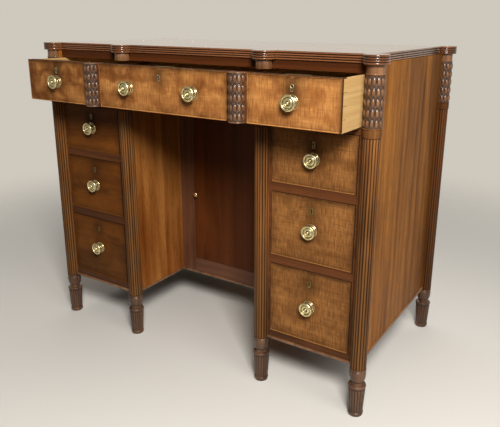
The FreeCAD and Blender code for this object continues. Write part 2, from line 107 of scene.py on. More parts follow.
class DeskColours(bpy.types.PropertyGroup):
    """Pale and dark tones of each finish."""
    side_pale: colour("Side, pale", "Pale streaks of the outer sides", "#bb7628")
    side_dark: colour("Side, dark", "Dark streaks of the outer sides", "#5c3412")
    knee_pale: colour("Kneehole, pale", "Pale streaks of the kneehole sides", "#cf8c48")
    knee_dark: colour("Kneehole, dark", "Dark streaks of the kneehole sides", "#7a4216")
    front_pale: colour("Drawer, pale", "Pale figure of the right drawer fronts", "#c4864a")
    front_dark: colour("Drawer, dark", "Dark figure of the right drawer fronts", "#6a4220")
    frieze_pale: colour("Frieze, pale", "Faded figure of the wide drawer", "#e19f59")
    frieze_dark: colour("Frieze, dark", "Dark figure of the wide drawer", "#8f5429")
    # The left fronts' tones are the right fronts' darkened, as painted shade
    shaded_left_front_pale: colour("Left front, pale", "Pale figure of the left drawer fronts", "#965820")
    shaded_left_front_dark: colour("Left front, dark", "Dark figure of the left drawer fronts", "#4f2a0c")
    # Painted shade: darkens the left of the wide drawer, where light falls off
    painted_left_shade: colour("Unfaded stain", "Darkens the less faded left of the wide drawer", "#c8c0b8")
    # Painted shade: darkens the foot of the kneehole sides
    painted_knee_foot_shade: colour("Dust stain", "Darkens the foot of the kneehole sides", "#d0bdae")
    turned_pale: colour("Turning, pale", "Worn crests of the turned work", "#a06a39")
    turned_dark: colour("Turning, dark", "Dark streaks of the turned work", "#4c2d15")
    # The rear columns' tones are the turning's darkened, as painted shade
    shaded_rear_pale: colour("Rear turning, pale", "Worn crests of the rear columns", "#754825")
    shaded_rear_dark: colour("Rear turning, dark", "Dark streaks of the rear columns", "#3a2110")
    # Painted shade: darkens columns, rails and left fronts near the floor
    painted_low_shade: colour("Dull stain", "Darkens columns, rails and left fronts near the floor", "#d4dde6")
    # Painted shade: darkens the rear edge of the outer sides
    painted_rear_shade: colour("Rear stain", "Darkens the rear edge of the outer sides", "#bcbac4")
    carved_pale: colour("Carving, pale", "Worn leaf tips", "#966a46")
    carved_dark: colour("Carving, dark", "Dark streaks of the carving", "#573722")
    foot_pale: colour("Foot, pale", "Worn crests of the feet", "#78563e")
    foot_dark: colour("Foot, dark", "Dark streaks of the feet", "#332116")
    # The cupboard frame's greyer tones are partly a painted sheen
    stile_pale: colour("Cupboard frame, pale", "Pale streaks of the cupboard frame", "#7a5038")
    stile_dark: colour("Cupboard frame, dark", "Dark streaks of the cupboard frame", "#533221")
    rail_pale: colour("Rail, pale", "Pale streaks of the rails", "#744425")
    rail_dark: colour("Rail, dark", "Dark streaks of the rails", "#4e2c17")
    # On the top rail these door tones are painted shade, for the shadow of the top
    door_pale: colour("Door, pale", "Pale streaks of the cupboard door and top rail", "#6e3a1a")
    door_dark: colour("Door, dark", "Dark streaks of the cupboard door and top rail", "#42210d")
    top_pale: colour("Top, pale", "Pale streaks of the top", "#a0633a")
    top_dark: colour("Top, dark", "Dark streaks of the top", "#58321b")
    oak_pale: colour("Oak, pale", "Pale bands of the drawer linings", "#d2ad74")
    oak_dark: colour("Oak, dark", "Dark bands of the drawer linings", "#bd9258")
    pine_pale: colour("Pine, pale", "Pale bands of the hidden boards", "#a9804e")
    pine_dark: colour("Pine, dark", "Dark bands of the hidden boards", "#6f5031")
    brass: colour("Brass", "Polished brass", "#e8daa8")
    old_brass: colour("Old brass", "Locks, hinges and the pedestal drawers' keyholes", "#a08c58")
    tarnish: colour("Tarnish", "Brass in the hollows", "#5b4a22")
    # Old wax and dust, with painted shade in hollows, along edges and round knobs
    grime_and_shade: colour("Grime", "Old wax and dust in the hollows of the wood", "#2a170b")
    # Keyhole: a painted shadow for the dark inside of the hole
    keyhole: colour("Keyhole", "Dark inside of a keyhole", "#0d0703")
    keyhole_dust: colour("Keyhole dust", "Dust inside a keyhole", "#3a2614")
    floor: colour("Floor", "Pale floor", "#ece8e0")
    floor_bounce: colour("Floor bounce", "Floor as it lights the desk", "#98928a")
    backdrop: colour("Backdrop", "Pale room behind the desk", "#cec8bd")


# Surfaces: a form is (points, blocks of faces, hollow), and hollow says how deep each point lies
# below the worn crests, where tarnish gathers, and where wood takes old wax and painted shade


def middle(node, axis):
    """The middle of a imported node's box along one axis."""
    low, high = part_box(node)
    return (low[axis] + high[axis]) / 2


def metres(steps):
    """Outline steps given in millimetres, in metres."""
    return [tuple(value * MM for value in step) for step in steps]


def quads(rows, columns):
    """Faces between neighbouring rows of a grid whose last column joins its first."""
    row = np.arange(rows - 1)[:, None] * columns
    column = np.arange(columns)[None]
    following = (column + 1) % columns
    corners = [row + column, row + following, row + columns + following, row + columns + column]
    return np.stack(corners, -1).reshape(-1, 4)


def shell(rings, hollow=0.0, start=True, end=True):
    """A closed skin over a stack of rings (rows by columns by 3): quads join each ring to the
    next, and one face fills the first ring and one the last."""
    rows, columns = rings.shape[:2]
    faces = [quads(rows, columns)]
    if start:
        faces.append(np.arange(columns)[None, ::-1])
    if end:
        faces.append((rows - 1) * columns + np.arange(columns)[None])
    depth = np.broadcast_to(hollow, (rows, columns))
    return rings.reshape(-1, 3), faces, depth.ravel()


def joined(forms):
    """Several forms as one."""
    points = [form[0] for form in forms]
    starts = np.cumsum([0] + [len(part) for part in points[:-1]])
    faces = [block + start for form, start in zip(forms, starts) for block in form[1]]
    return np.concatenate(points), faces, np.concatenate([form[2] for form in forms])


def moved(form, place):
    """The same form, moved by a vector."""
    return form[0] + np.array(place), form[1], form[2]


def facing_front(form, place):
    """A form turned round Z, laid over so that it stands towards -Y from a place."""
    points, faces, hollow = form
    laid = np.stack([points[:, 0], -points[:, 2], points[:, 1]], -1)
    return laid + np.array(place), faces, hollow


def add_piece(name, form, material, body, nodes=()):
    """Put a form into the scene as one piece that rides on a body."""
    points, faces, hollow = form
    mesh = bpy.data.meshes.new(name)
    mesh.from_pydata(points.tolist(), [], [face for block in faces for face in block.tolist()])
    layer = mesh.attributes.new("hollow", "FLOAT", "POINT")
    layer.data.foreach_set("value", np.ascontiguousarray(hollow, np.float32))
    welded = bmesh.new()
    welded.from_mesh(mesh)
    bmesh.ops.remove_doubles(welded, verts=welded.verts, dist=WELD)
    bmesh.ops.recalc_face_normals(welded, faces=welded.faces)
    welded.to_mesh(mesh)
    welded.free()
    mesh.materials.append(material)
    mesh.shade_smooth()
    mesh.set_sharp_from_angle(angle=SHARP)
    piece = bpy.data.objects.new(name, mesh)
    bpy.context.scene.collection.objects.link(piece)
    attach(piece, body)
    if nodes:
        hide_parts(*nodes)
    return piece


def bowed_outline(steps, count):
    """Points of a turned outline. Each step is (radius, height, bow): a parabola of count spans
    from the point before it that stands out by bow at its middle, or a straight line where bow
    is 0."""
    outline = [np.array(steps[0][:2])[None]]
    for before, step in zip(steps, steps[1:]):
        run = np.subtract(step[:2], before[:2])
        out = np.array([run[1], -run[0]]) / np.hypot(*run)
        part = np.linspace(0, 1, (count if step[2] else 1) + 1)[1:, None]
        bow = 4 * step[2] * part * (1 - part) * out
        outline.append(np.array(before[:2]) + run * part + bow)
    return np.concatenate(outline)


def block(low, high, chamfer):
    """A box with all its edges taken off: a stack of four rectangles with cut corners."""
    low, high = np.array(low), np.array(high)
    inset = np.array([chamfer, 0, 0, chamfer])[:, None]
    height = np.array([low[2], low[2] + chamfer, high[2] - chamfer, high[2]])[:, None]
    x0, x1 = low[0] + inset, high[0] - inset
    y0, y1 = low[1] + inset, high[1] - inset
    cut = np.full_like(inset, chamfer)
    xs = np.concatenate([x0 + cut, x1 - cut, x1, x1, x1 - cut, x0 + cut, x0, x0], 1)
    ys = np.concatenate([y0, y0, y0 + cut, y1 - cut, y1, y1, y1 - cut, y0 + cut], 1)
    return shell(np.stack([xs, ys, np.broadcast_to(height, xs.shape)], -1))


# Turned and carved work: each length is (heights, radii, hollows), rows by angles

CURVE_STEPS = 6                       # spans along each bow of a turned outline
CROWN_STEPS = 4                       # the same on the small bands over the carving
REED_STEPS = 12                       # points round a column for each reed
DOME_STEPS = 8                        # points along the domed end of a reed
REED_WAX_AND_SHADE = 2.2                        # valleys are black with wax and painted shade before they are at their deepest
REED_WEAR_AND_HIGHLIGHT = 0.3                       # how far crests are worn and given a painted highlight past the clean wood
COLLAR_WAX = 0.25                     # plain bands have kept more dark wax than the reeds
LEAF_STEPS = 18                       # spans up a leaf
LEAF_FILL = 0.98                      # share of its pitch that a leaf fills
LEAF_START = 0.2                      # where along half a sine wave a leaf's outline starts
LEAF_BLUNT = 0.75                     # a power below 1 fills out that outline
LEAF_TIP_FALL, LEAF_FOOT_FALL = 4.2, 2.2     # how fast a leaf falls from its middle to each end
LEAF_LEAST = 0.12                     # height left at the ends of a leaf
LEAF_BEHIND = 0.62                    # height of the leaves that show between the others
LEAF_WAX_AND_SHADE = 1.4                        # the ground is black with wax and painted shade before it is at its deepest

# The foot's outline as (radius, height, bow), in millimetres from the floor
TOE = [(13.0, 0.0, 0), (16.4, 4.0, 1.2), (16.9, 7.6, 0.3), (15.6, 10.4, 0.6), (14.4, 11.4, 0)]
PEG = (11.4, 70.0, 16.0, 19.5)        # low, high, low radius, high radius
ANKLE = [(17.4, 70.0, 0), (17.4, 70.6, 0), (19.4, 71.2, 0.1), (19.4, 77.2, 0.9),
         (17.4, 78.4, 0.2), (13.4, 79.0, -0.1), (12.9, 85.0, -0.3), (17.4, 93.5, 1.1),
         (18.7, 104.0, 0.3), (17.9, 113.0, 0.4), (16.9, 113.8, 0), (18.2, 114.4, 0.1),
         (18.2, 117.4, 0.7), (16.9, 118.0, 0)]
SHAFT_LOW = 118.0 * MM                # where the reeds of a shaft start
COLLAR_DROP = 2 * MM                  # the collar starts this far under the rail
NECK_LAP = 1 * MM                     # the bead over the carving starts this far down it
COLUMNS = ("front_left", "front_right", "rear_left", "rear_right", "inner_left", "inner_right")


def plain_length(angles, steps, count):
    """A plain turned length along a bowed outline."""
    outline = bowed_outline(steps, count)
    radii = np.broadcast_to(outline[:, :1], (len(outline), len(angles)))
    return outline[:, 1], radii, np.zeros_like(radii)


def reeded_length(angles, low, high, low_radius, high_radius, sizes):
    """A length of round reeds with domed ends. Across a reed s runs from -1 to 1, and q goes
    from 0 to 1 over the last half width of its ends: the swell is the root of 1 - s^2 - q^2."""
    count = sizes.reed_count
    half_width = math.pi * (low_radius + high_radius) / 2 / count
    dome = half_width * (1 - np.cos(np.linspace(0, math.pi / 2, DOME_STEPS)))
    heights = np.concatenate([low + dome, high - dome[::-1]])
    ends = np.minimum(heights - low, high - heights)[:, None]
    q = np.clip(1 - ends / half_width, 0, 1)
    s = 2 * (angles * count / FULL_TURN % 1) - 1
    swell = np.sqrt(np.clip(1 - s ** 2 - q ** 2, 0, 1))
    part = ((heights - low) / (high - low))[:, None]
    radii = low_radius + (high_radius - low_radius) * part - sizes.reed_depth * (1 - swell)
    return heights, radii, REED_WAX_AND_SHADE * (1 - swell) - REED_WEAR_AND_HIGHLIGHT


def leaf_swell(u, v):
    """Height of one leaf over its ground. u runs from -1 to 1 across it and v from 0 to 1 up it:
    its half width is a sine that closes to a point at the top, its section is round, and
    lengthwise it falls away from its middle as a parabola, faster towards the tip."""
    wave = np.sin(math.pi * (LEAF_START + (1 - LEAF_START) * np.clip(v, 0, 1)))
    width = LEAF_FILL * wave ** LEAF_BLUNT + 1e-6         # never quite 0, as it divides
    section = np.sqrt(np.clip(1 - (u / width) ** 2, 0, 1))
    away = v - 0.5
    fall = np.where(away > 0, LEAF_TIP_FALL, LEAF_FOOT_FALL)
    return np.clip(1 - fall * away ** 2, LEAF_LEAST, 1) * section


def carved_length(angles, low, high, radius, sizes):
    """Rows of stiff leaves, tip up, over a lower layer of the same leaves moved half a leaf
    round and half a row up, which shows between them."""
    rows = sizes.leaf_rows
    heights = np.linspace(low, high, rows * LEAF_STEPS + 1)
    up = (heights - low)[:, None] / (high - low) * rows
    across = angles * sizes.leaf_count / FULL_TURN
    front = leaf_swell(2 * (across % 1) - 1, up % 1)
    behind = leaf_swell(2 * ((across + 0.5) % 1) - 1, (up + 0.5) % 1)
    swell = np.maximum(front, LEAF_BEHIND * behind)
    return heights, radius - sizes.leaf_relief * (1 - swell), LEAF_WAX_AND_SHADE * (1 - swell)


def turned_form(lengths, angles, axis):
    """A skin round an upright axis over turned lengths stacked one on another."""
    heights = np.concatenate([part[0] for part in lengths])[:, None]
    radii = np.concatenate([part[1] for part in lengths])
    hollow = np.concatenate([part[2] for part in lengths])
    rings = np.stack([axis[0] + radii * np.cos(angles), axis[1] + radii * np.sin(angles),
                      np.broadcast_to(heights, radii.shape)], -1)
    return shell(rings, hollow)


def foot_lengths(angles, sizes):
    """Toe, reeded peg, collar, waist and bulb, up to the foot of the shaft."""
    peg = (value * MM for value in PEG)
    return [plain_length(angles, metres(TOE), CURVE_STEPS),
            reeded_length(angles, *peg, sizes),
            plain_length(angles, metres(ANKLE), CURVE_STEPS)]


def collar_length(angles, low, high, radius, inner):
    """The plain band between the reeds and the carving, with a fine bead at its top."""
    bead_low = high - 3 * MM
    band, quirk, bead = radius - 0.6 * MM, radius - 1.6 * MM, radius - 1.2 * MM
    heights, radii, hollow = plain_length(angles, [
        (inner, low, 0), (band, low + 0.4 * MM, 0.3 * MM), (band, bead_low - 1 * MM, 0.3 * MM),
        (quirk, bead_low, 0), (bead, bead_low, 0), (bead, high, 1.4 * MM), (inner, high, 0)],
        CURVE_STEPS)
    return heights, radii, hollow + COLLAR_WAX


def neck_length(angles, low, top, radius):
    """The neck over the carving: a small bead, and the plain length up to the top board."""
    bead, neck = radius + 0.6 * MM, radius - 0.4 * MM
    return plain_length(angles, [
        (radius - 1.5 * MM, low - NECK_LAP, 0), (bead, low, 0.2 * MM),
        (bead, low + 2 * MM, 0.5 * MM), (neck, low + 2.4 * MM, 0), (neck, top, 0)], CROWN_STEPS)


def column_parts(angles, top, shaft_finish, sizes):
    """The lengths of one column as {part: (finish, lengths)}: the foot, the reeded shaft with its
    collar, and at a corner the carved drum with the neck over it."""
    rail_low, rail_high = (corner.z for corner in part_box("frieze_rail"))
    collar_low = rail_low - COLLAR_DROP
    drum_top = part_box("top_rail")[0].z
    shaft = reeded_length(angles, SHAFT_LOW, collar_low, sizes.shaft_radius, sizes.shaft_radius,
                          sizes)
    collar = collar_length(angles, collar_low, rail_high, sizes.collar_radius,
                           sizes.shaft_radius - sizes.reed_depth)
    parts = {"turned_foot": ("foot", foot_lengths(angles, sizes)),
             "reeded_shaft": (shaft_finish, [shaft, collar])}
    if top > drum_top:
        leaves = carved_length(angles, rail_high, drum_top - NECK_LAP, sizes.carved_radius, sizes)
        neck = neck_length(angles, drum_top, top, sizes.neck_radius)
        parts["carved_drum"] = ("carved", [leaves, neck])
    return parts


def make_columns(sizes):
    """The six columns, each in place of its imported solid."""
    angles = np.linspace(0, FULL_TURN, REED_STEPS * sizes.reed_count, endpoint=False)
    for name in COLUMNS:
        low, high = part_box(name + "_column")
        # the rear columns take the darker copy of the turning, painted shade
        shaft_finish = "rear_turned" if "rear" in name else "turned"
        parts = column_parts(angles, high.z, shaft_finish, sizes)
        for part, (key, lengths) in parts.items():
            form = turned_form(lengths, angles, (low + high) / 2)
            add_piece(name + "_" + part, form, finish(key), "carcass",
                      [name + "_column"])


PILASTER_RADIUS = 20 * MM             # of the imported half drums
PILASTER_POINTS = 97                  # round the carved half
PILASTER_LIP = 3 * MM                 # the carving ends this far before the axis
PILASTER_SINK = 2 * MM                # and the ring closes this far before it, inside the board
PILASTER_FOOT, PILASTER_CROWN = 2.5 * MM, 1.5 * MM        # heights of the plain bands at the ends
PILASTER_STRIP = 3 * MM               # wood beside the carving, before the cockbead starts


def make_pilasters(sizes):
    """Two carved half drums on the wide drawer's front. The front half of each ring is the
    carved surface, and two points behind it close the ring inside the board."""
    low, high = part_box("frieze_pilasters")
    axis_y = low.y + PILASTER_RADIUS
    leaves_low, leaves_high = low.z + PILASTER_FOOT, high.z - PILASTER_CROWN
    open_angle = math.asin(PILASTER_LIP / sizes.carved_radius)
    angles = np.linspace(math.pi + open_angle, FULL_TURN - open_angle, PILASTER_POINTS)
    band = sizes.carved_radius - 1.2 * MM
    lengths = [
        plain_length(angles, [(band, low.z, 0), (band, leaves_low, 0.6 * MM)], CURVE_STEPS),
        carved_length(angles, leaves_low, leaves_high, sizes.carved_radius - 0.3 * MM, sizes),
        plain_length(angles, [(band, leaves_high, 0), (band, high.z, 0.3 * MM)], CROWN_STEPS)]
    heights, radii, hollow = (np.concatenate(group) for group in zip(*lengths))
    x = radii * np.cos(angles)
    y = radii * np.sin(angles)
    behind = np.full((len(heights), 1), -PILASTER_SINK)
    x = np.concatenate([x[:, :1], x, x[:, -1:]], 1)
    y = np.concatenate([behind, y, behind], 1)
    hollow = np.concatenate([hollow[:, :1], hollow, hollow[:, -1:]], 1)
    ring = np.stack([x, y + axis_y, np.broadcast_to(heights[:, None], x.shape)], -1)
    column_x = middle("inner_right_column", X)
    forms = [moved(shell(ring, hollow), (sign * column_x, 0, 0)) for sign in (-1, 1)]
    add_piece("frieze_carved_pilasters", joined(forms), finish("carved"), "frieze_drawer",
              ["frieze_pilasters"])


# Top board

TOP_REED_POINTS = 11                  # up each reed
TURRET_POINTS = 33                    # along each arc
TOP_RIM = 1 * MM                      # level ring inside the reeds
TOP_WAX_AND_SHADE, TOP_WAX_AND_SHADE_LEAST = 3.2, 0.05    # wax and painted shade darken the reeds' valleys, and their crests are nearly clean


def make_top(sizes):
    """The top: its plan is a rectangle with six round turrets, whose arcs end where their
    circles meet the straight edges, and its edge is a stack of round reeds. Set in by i, a
    turret's radius is R - i and the edges lie e + i inside the column axes, so an arc goes
    past its quarter turns by the arcsine of (e + i) / (R - i) at each end. A last level ring inside
    the reeds keeps both faces flat to their rims."""
    low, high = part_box("top_board")
    radius = sizes.turret_radius
    outer_x, front_y, rear_y = high.x - radius, low.y + radius, high.y - radius
    inner_x = middle("inner_right_column", X)
    s = np.linspace(-1, 1, TOP_REED_POINTS)
    reed = (high.z - low.z) / sizes.top_reeds
    level = np.arange(sizes.top_reeds)[:, None]
    heights = (low.z + reed * (level + (s + 1) / 2)).ravel()
    heights = np.concatenate([[low.z], heights, [high.z]])
    hollow = np.tile(1 - np.sqrt(1 - s ** 2), sizes.top_reeds)
    rim = [1 + TOP_RIM / sizes.top_reed_depth]
    inset = sizes.top_reed_depth * np.concatenate([rim, hollow, rim])[:, None]
    clean = np.zeros(3)                   # the level ring and the first two points of a face's reed
    wax_and_shade = np.concatenate([clean, TOP_WAX_AND_SHADE * hollow[2:-2] + TOP_WAX_AND_SHADE_LEAST, clean])[:, None]
    slant = np.arcsin((sizes.top_edge_set + inset) / (radius - inset))
    turn = np.linspace(0, 1, TURRET_POINTS)
    # axis of each turret, and the degrees at which its arc starts and ends
    turrets = [(-outer_x, front_y, 90, 360), (-inner_x, front_y, 180, 360),
               (inner_x, front_y, 180, 360), (outer_x, front_y, 180, 450),
               (outer_x, rear_y, 270, 540), (-outer_x, rear_y, 360, 630)]
    arcs = []
    for x, y, first, last in turrets:
        angle = math.radians(first) - slant + (math.radians(last - first) + 2 * slant) * turn
        arcs.append(np.stack([x + (radius - inset) * np.cos(angle),
                              y + (radius - inset) * np.sin(angle),
                              np.broadcast_to(heights[:, None], angle.shape)], -1))
    form = shell(np.concatenate(arcs, 1), wax_and_shade)
    add_piece("top_with_reeded_edge", form, finish("top"), "carcass", ["top_board"])


# Drawer fronts

FIELD_ACROSS, FIELD_UP = 60, 30       # spans of the grid on a drawer's field
BEAD_POINTS = 9                       # over the half round of a cockbead
QUIRK = 0.35 * MM                     # fine groove between the cockbead and the field
EDGE_WAX_AND_SHADE, EDGE_REACH = 0.42, 11 * MM       # old wax and painted shade along the edges of a field, and its reach
LIP_PAINTED_SHADOW, LIP_REACH = 0.4, 4 * MM           # painted shadow under the upper edge
KNOB_GRIME_AND_SHADOW, KNOB_REACH = 0.5, 23 * MM        # handling grime and painted shadow round each knob and keyhole
# Hollow from the back over the cockbead to the field: a painted highlight on the lower bead,
# painted shade on the others
BEAD_PAINTED_HIGHLIGHT = np.array([1, 0.7, 0] + 6 * [-0.3] + [0.1, 0.5, 0.35])[:, None]
BEAD_PAINTED_SHADE = np.array([1, 1, 0.9, 0.8, 0.6] + 4 * [0.3] + [0.4, 0.5, 0.35])[:, None]


def beaded_panel(x, z, back, face, fittings, sizes):
    """A drawer front between x and z limits. Its outline is carried from the back to the face
    as rectangles set in by the cockbead's half round and a fine quirk. The bead has a painted
    highlight along its lower edge and painted shade along the others. The field is a grid whose
    hollow grows towards the edges and round the fittings, where old wax and painted shade gather,
    and a painted shadow lies under its upper edge."""
    across = np.linspace(0, 1, FIELD_ACROSS + 1)
    up = np.linspace(0, 1, FIELD_UP + 1)
    # once round the outline, from the lower left corner along the lower edge
    walk_u = np.concatenate([across[:-1], np.ones(FIELD_UP), across[:0:-1], np.zeros(FIELD_UP)])
    walk_v = np.concatenate([np.zeros(FIELD_ACROSS), up[:-1], np.ones(FIELD_ACROSS), up[:0:-1]])
    half_turn = np.linspace(0, math.pi, BEAD_POINTS)
    half = sizes.bead_width / 2
    inset = np.concatenate([[0], half * (1 - np.cos(half_turn)),
                            [2 * half + QUIRK, 2 * half + 2 * QUIRK]])
    depth = np.concatenate([[back], face - sizes.bead_proud * np.sin(half_turn),
                            [face + QUIRK, face]])
    # the lower edge takes the painted highlight, the others the painted shade
    hollow = np.where(np.arange(len(walk_u)) < FIELD_ACROSS, BEAD_PAINTED_HIGHLIGHT, BEAD_PAINTED_SHADE)

    def level(u, v, set_in):
        """Places on the rectangle set in from the outline."""
        return (x[0] + set_in + (x[1] - x[0] - 2 * set_in) * u,
                z[0] + set_in + (z[1] - z[0] - 2 * set_in) * v)

    ring_x, ring_z = level(walk_u, walk_v, inset[:, None])
    rings = np.stack([ring_x, np.broadcast_to(depth[:, None], ring_x.shape), ring_z], -1)
    border = shell(rings, hollow, end=False)
    grid_x, grid_z = level(across[None], up[:, None], inset[-1])
    grid_x, grid_z = np.broadcast_arrays(grid_x, grid_z)
    edge = np.minimum(np.minimum(grid_x - x[0], x[1] - grid_x),
                      np.minimum(grid_z - z[0], z[1] - grid_z))
    grime_and_shade = EDGE_WAX_AND_SHADE * np.exp(-edge / EDGE_REACH)
    # painted shadow under the upper edge
    grime_and_shade = grime_and_shade + LIP_PAINTED_SHADOW * np.exp((grid_z - z[1]) / LIP_REACH)
    # handling grime and painted shadow round each knob and keyhole
    for fitting_x, fitting_z in fittings:
        away = np.hypot(grid_x - fitting_x, grid_z - fitting_z)
        grime_and_shade = grime_and_shade + KNOB_GRIME_AND_SHADOW * np.exp(-(away / KNOB_REACH) ** 2)
    field = np.stack([grid_x, np.full_like(grid_x, face), grid_z], -1)
    index = np.arange(field.shape[0] * field.shape[1]).reshape(field.shape[:2])
    corners = [index[:-1, :-1], index[:-1, 1:], index[1:, 1:], index[1:, :-1]]
    faces = [np.stack(corners, -1).reshape(-1, 4)]
    return joined([border, (field.reshape(-1, 3), faces, np.clip(grime_and_shade, 0, 1).ravel())])


def knob_places(sizes):
    """Where each drawer's knobs and keyholes stand, as {body: (knobs, keys)}, each (x, z)."""
    inner, outer = sizes.frieze_knob_x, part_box("frieze_knobs")[1].x - sizes.knob_radius
    knob_z = middle("frieze_knobs", Z)
    key_z = middle("frieze_escutcheons", Z)
    places = {"frieze_drawer": ([(x, knob_z) for x in (-outer, -inner, inner, outer)],
                                [(x, key_z) for x in (-outer, 0.0, outer)])}
    for body in PEDESTAL_DRAWERS:
        front = body + "_front"
        x = middle(front, X)
        key_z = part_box(front)[1].z - sizes.pedestal_key_drop
        places[body] = ([(x, middle(front, Z))], [(x, key_z)])
    return places


def make_drawer_fronts(sizes):
    """The wide drawer's front in three beaded fields with a strip behind each pilaster, and
    the six pedestal fronts of one field each."""
    places = knob_places(sizes)
    low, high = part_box("frieze_front")
    face = low.y + sizes.bead_proud
    fittings = [place for group in places["frieze_drawer"] for place in group]
    column_x = middle("inner_right_column", X)
    strip = sizes.carved_radius + PILASTER_STRIP
    fields = ((low.x, -column_x - strip), (-column_x + strip, column_x - strip),
              (column_x + strip, high.x))
    forms = [beaded_panel(x, (low.z, high.z), high.y, face, fittings, sizes) for x in fields]
    add_piece("frieze_beaded_front", joined(forms), finish("frieze"), "frieze_drawer",
              ["frieze_front"])
    strips = [block((x - strip, low.y, low.z), (x + strip, high.y, high.z), chamfer=0.5 * MM)
              for x in (-column_x, column_x)]
    add_piece("frieze_pilaster_strips", joined(strips), finish("rail"), "frieze_drawer")
    for body in PEDESTAL_DRAWERS:
        low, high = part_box(body + "_front")
        fittings = places[body][0] + places[body][1]
        form = beaded_panel((low.x, high.x), (low.z, high.z), high.y, low.y + sizes.bead_proud,
                            fittings, sizes)
        # the left fronts take the copy of the veneer darkened with painted shade
        veneer = finish("left_front" if "left" in body else "front")
        add_piece(body + "_beaded_front", form, veneer, body, [body + "_front"])


TAIL_PITCH = 26 * MM                  # about the width of a dovetail
TAIL_REACH = 13.5 * MM                # how far it runs into the drawer front
TAIL_SINK, TAIL_PROUD = 1 * MM, 0.06 * MM    # its depth in the front's end, and how far it shows
TAIL_WIDE, TAIL_NARROW = 0.49, 0.475         # half widths at the face and at the back, in pitches


def dovetails(end_x, outward, back, low, high):
    """Oak tails let into the end of a drawer front: thin wedges, wider towards the face."""
    count = max(2, round((high - low) / TAIL_PITCH))
    pitch = (high - low) / count
    wide, narrow = TAIL_WIDE * pitch, TAIL_NARROW * pitch
    corner_y = np.array([back, back, back - TAIL_REACH, back - TAIL_REACH])
    forms = []
    for tail in range(count):
        centre = low + pitch * (tail + 0.5)
        corner_z = np.array([centre + narrow, centre - narrow, centre - wide, centre + wide])
        ring = np.stack([np.zeros(4), corner_y, corner_z], -1)
        forms.append(shell(np.stack([ring + (end_x - outward * TAIL_SINK, 0, 0),
                                     ring + (end_x + outward * TAIL_PROUD, 0, 0)])))
    return forms


def make_dovetails():
    """Tails at both ends of every drawer front."""
    groups = [("frieze_drawer", "frieze_front", "frieze_sides")]
    groups += [(body, body + "_front", body + "_box") for body in PEDESTAL_DRAWERS]
    for body, front, sides in groups:
        low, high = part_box(front)
        side_low, side_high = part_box(sides)
        forms = dovetails(low.x, -1, high.y, side_low.z, side_high.z)
        forms += dovetails(high.x, 1, high.y, side_low.z, side_high.z)
        add_piece(body + "_dovetails", joined(forms), finish("oak_long"), body)


# Brass

# Outlines as (radius, height above the face, bow) and grooves as (radius, height), in millimetres
KNOB = [(5.6, 3.2, 0), (5.0, 6.0, -0.5), (6.4, 9.0, -0.4), (9.0, 11.2, -0.8), (15.2, 12.8, -0.2),
        (16.5, 14.6, 0.5), (14.4, 18.4, 0.8), (11.6, 17.0, 0.7), (11.2, 15.4, 0),
        (10.4, 15.2, -0.1), (9.8, 16.0, 0.2), (5.4, 17.0, 0.7), (4.6, 16.0, 0.1),
        (3.4, 16.0, -0.2), (2.9, 17.4, 0.2), (0.3, 19.6, 0.6)]
KNOB_GROOVES = [(10.8, 15.2), (4.0, 15.9), (5.0, 5.5)]
ROSE = [(15.0, 0.0, 0), (15.0, 1.0, 0), (13.4, 1.8, 0.35), (12.7, 1.0, 0.1), (12.0, 1.0, -0.1),
        (11.6, 1.9, 0.1), (8.8, 3.0, 0.35), (8.2, 2.5, 0.1), (7.6, 2.5, 0), (7.0, 3.3, 0.2),
        (5.6, 3.3, 0)]
ROSE_GROOVES = [(12.3, 0.9), (7.9, 2.4)]
DOOR_KNOB = [(2.6, 0.0, 0), (2.4, 5.0, -0.3), (4.4, 7.4, -0.4), (6.9, 11.0, 0.6), (5.6, 15.0, 0.7),
             (0.3, 16.0, 0.4)]
DOOR_KNOB_GROOVES = [(2.4, 4.0)]
BRASS_POINTS = 72                     # round a turning
GROOVE_REACH = 1.1 * MM               # how far tarnish spreads from a groove
EYE, EYE_UP = 2.7 * MM, 3.0 * MM      # radius of a keyhole's eye, and how high it stands
KEY_SLOT, KEY_FOOT = 1.2 * MM, 5.7 * MM      # half width of the slot at the eye, and its foot
EYE_POINTS = 29                       # round the eye
THREAD, THREAD_PROUD = 1.3 * MM, 0.8 * MM    # brass round a keyhole: its width and height
HOLE_GROW, HOLE_PROUD = 0.2 * MM, 0.25 * MM  # the painted shadow of the hole runs under the thread, above the wood
LOCK_HALF, LOCK_HIGH, LOCK_DEEP = 28 * MM, 34 * MM, 9 * MM


def turned_brass(outline, grooves):
    """A brass turning round Z, with tarnish left near its grooves."""
    profile = bowed_outline(metres(outline), CURVE_STEPS)
    angles = np.linspace(0, FULL_TURN, BRASS_POINTS, endpoint=False)
    rings = np.stack([profile[:, :1] * np.cos(angles), profile[:, :1] * np.sin(angles),
                      np.broadcast_to(profile[:, 1:], (len(profile), BRASS_POINTS))], -1)
    depth = np.zeros((len(profile), 1))
    for radius, height in metres(grooves):
        near = np.hypot(profile[:, :1] - radius, profile[:, 1:] - height)
        depth = np.maximum(depth, np.exp(-(near / GROOVE_REACH) ** 2))
    return shell(rings, depth)


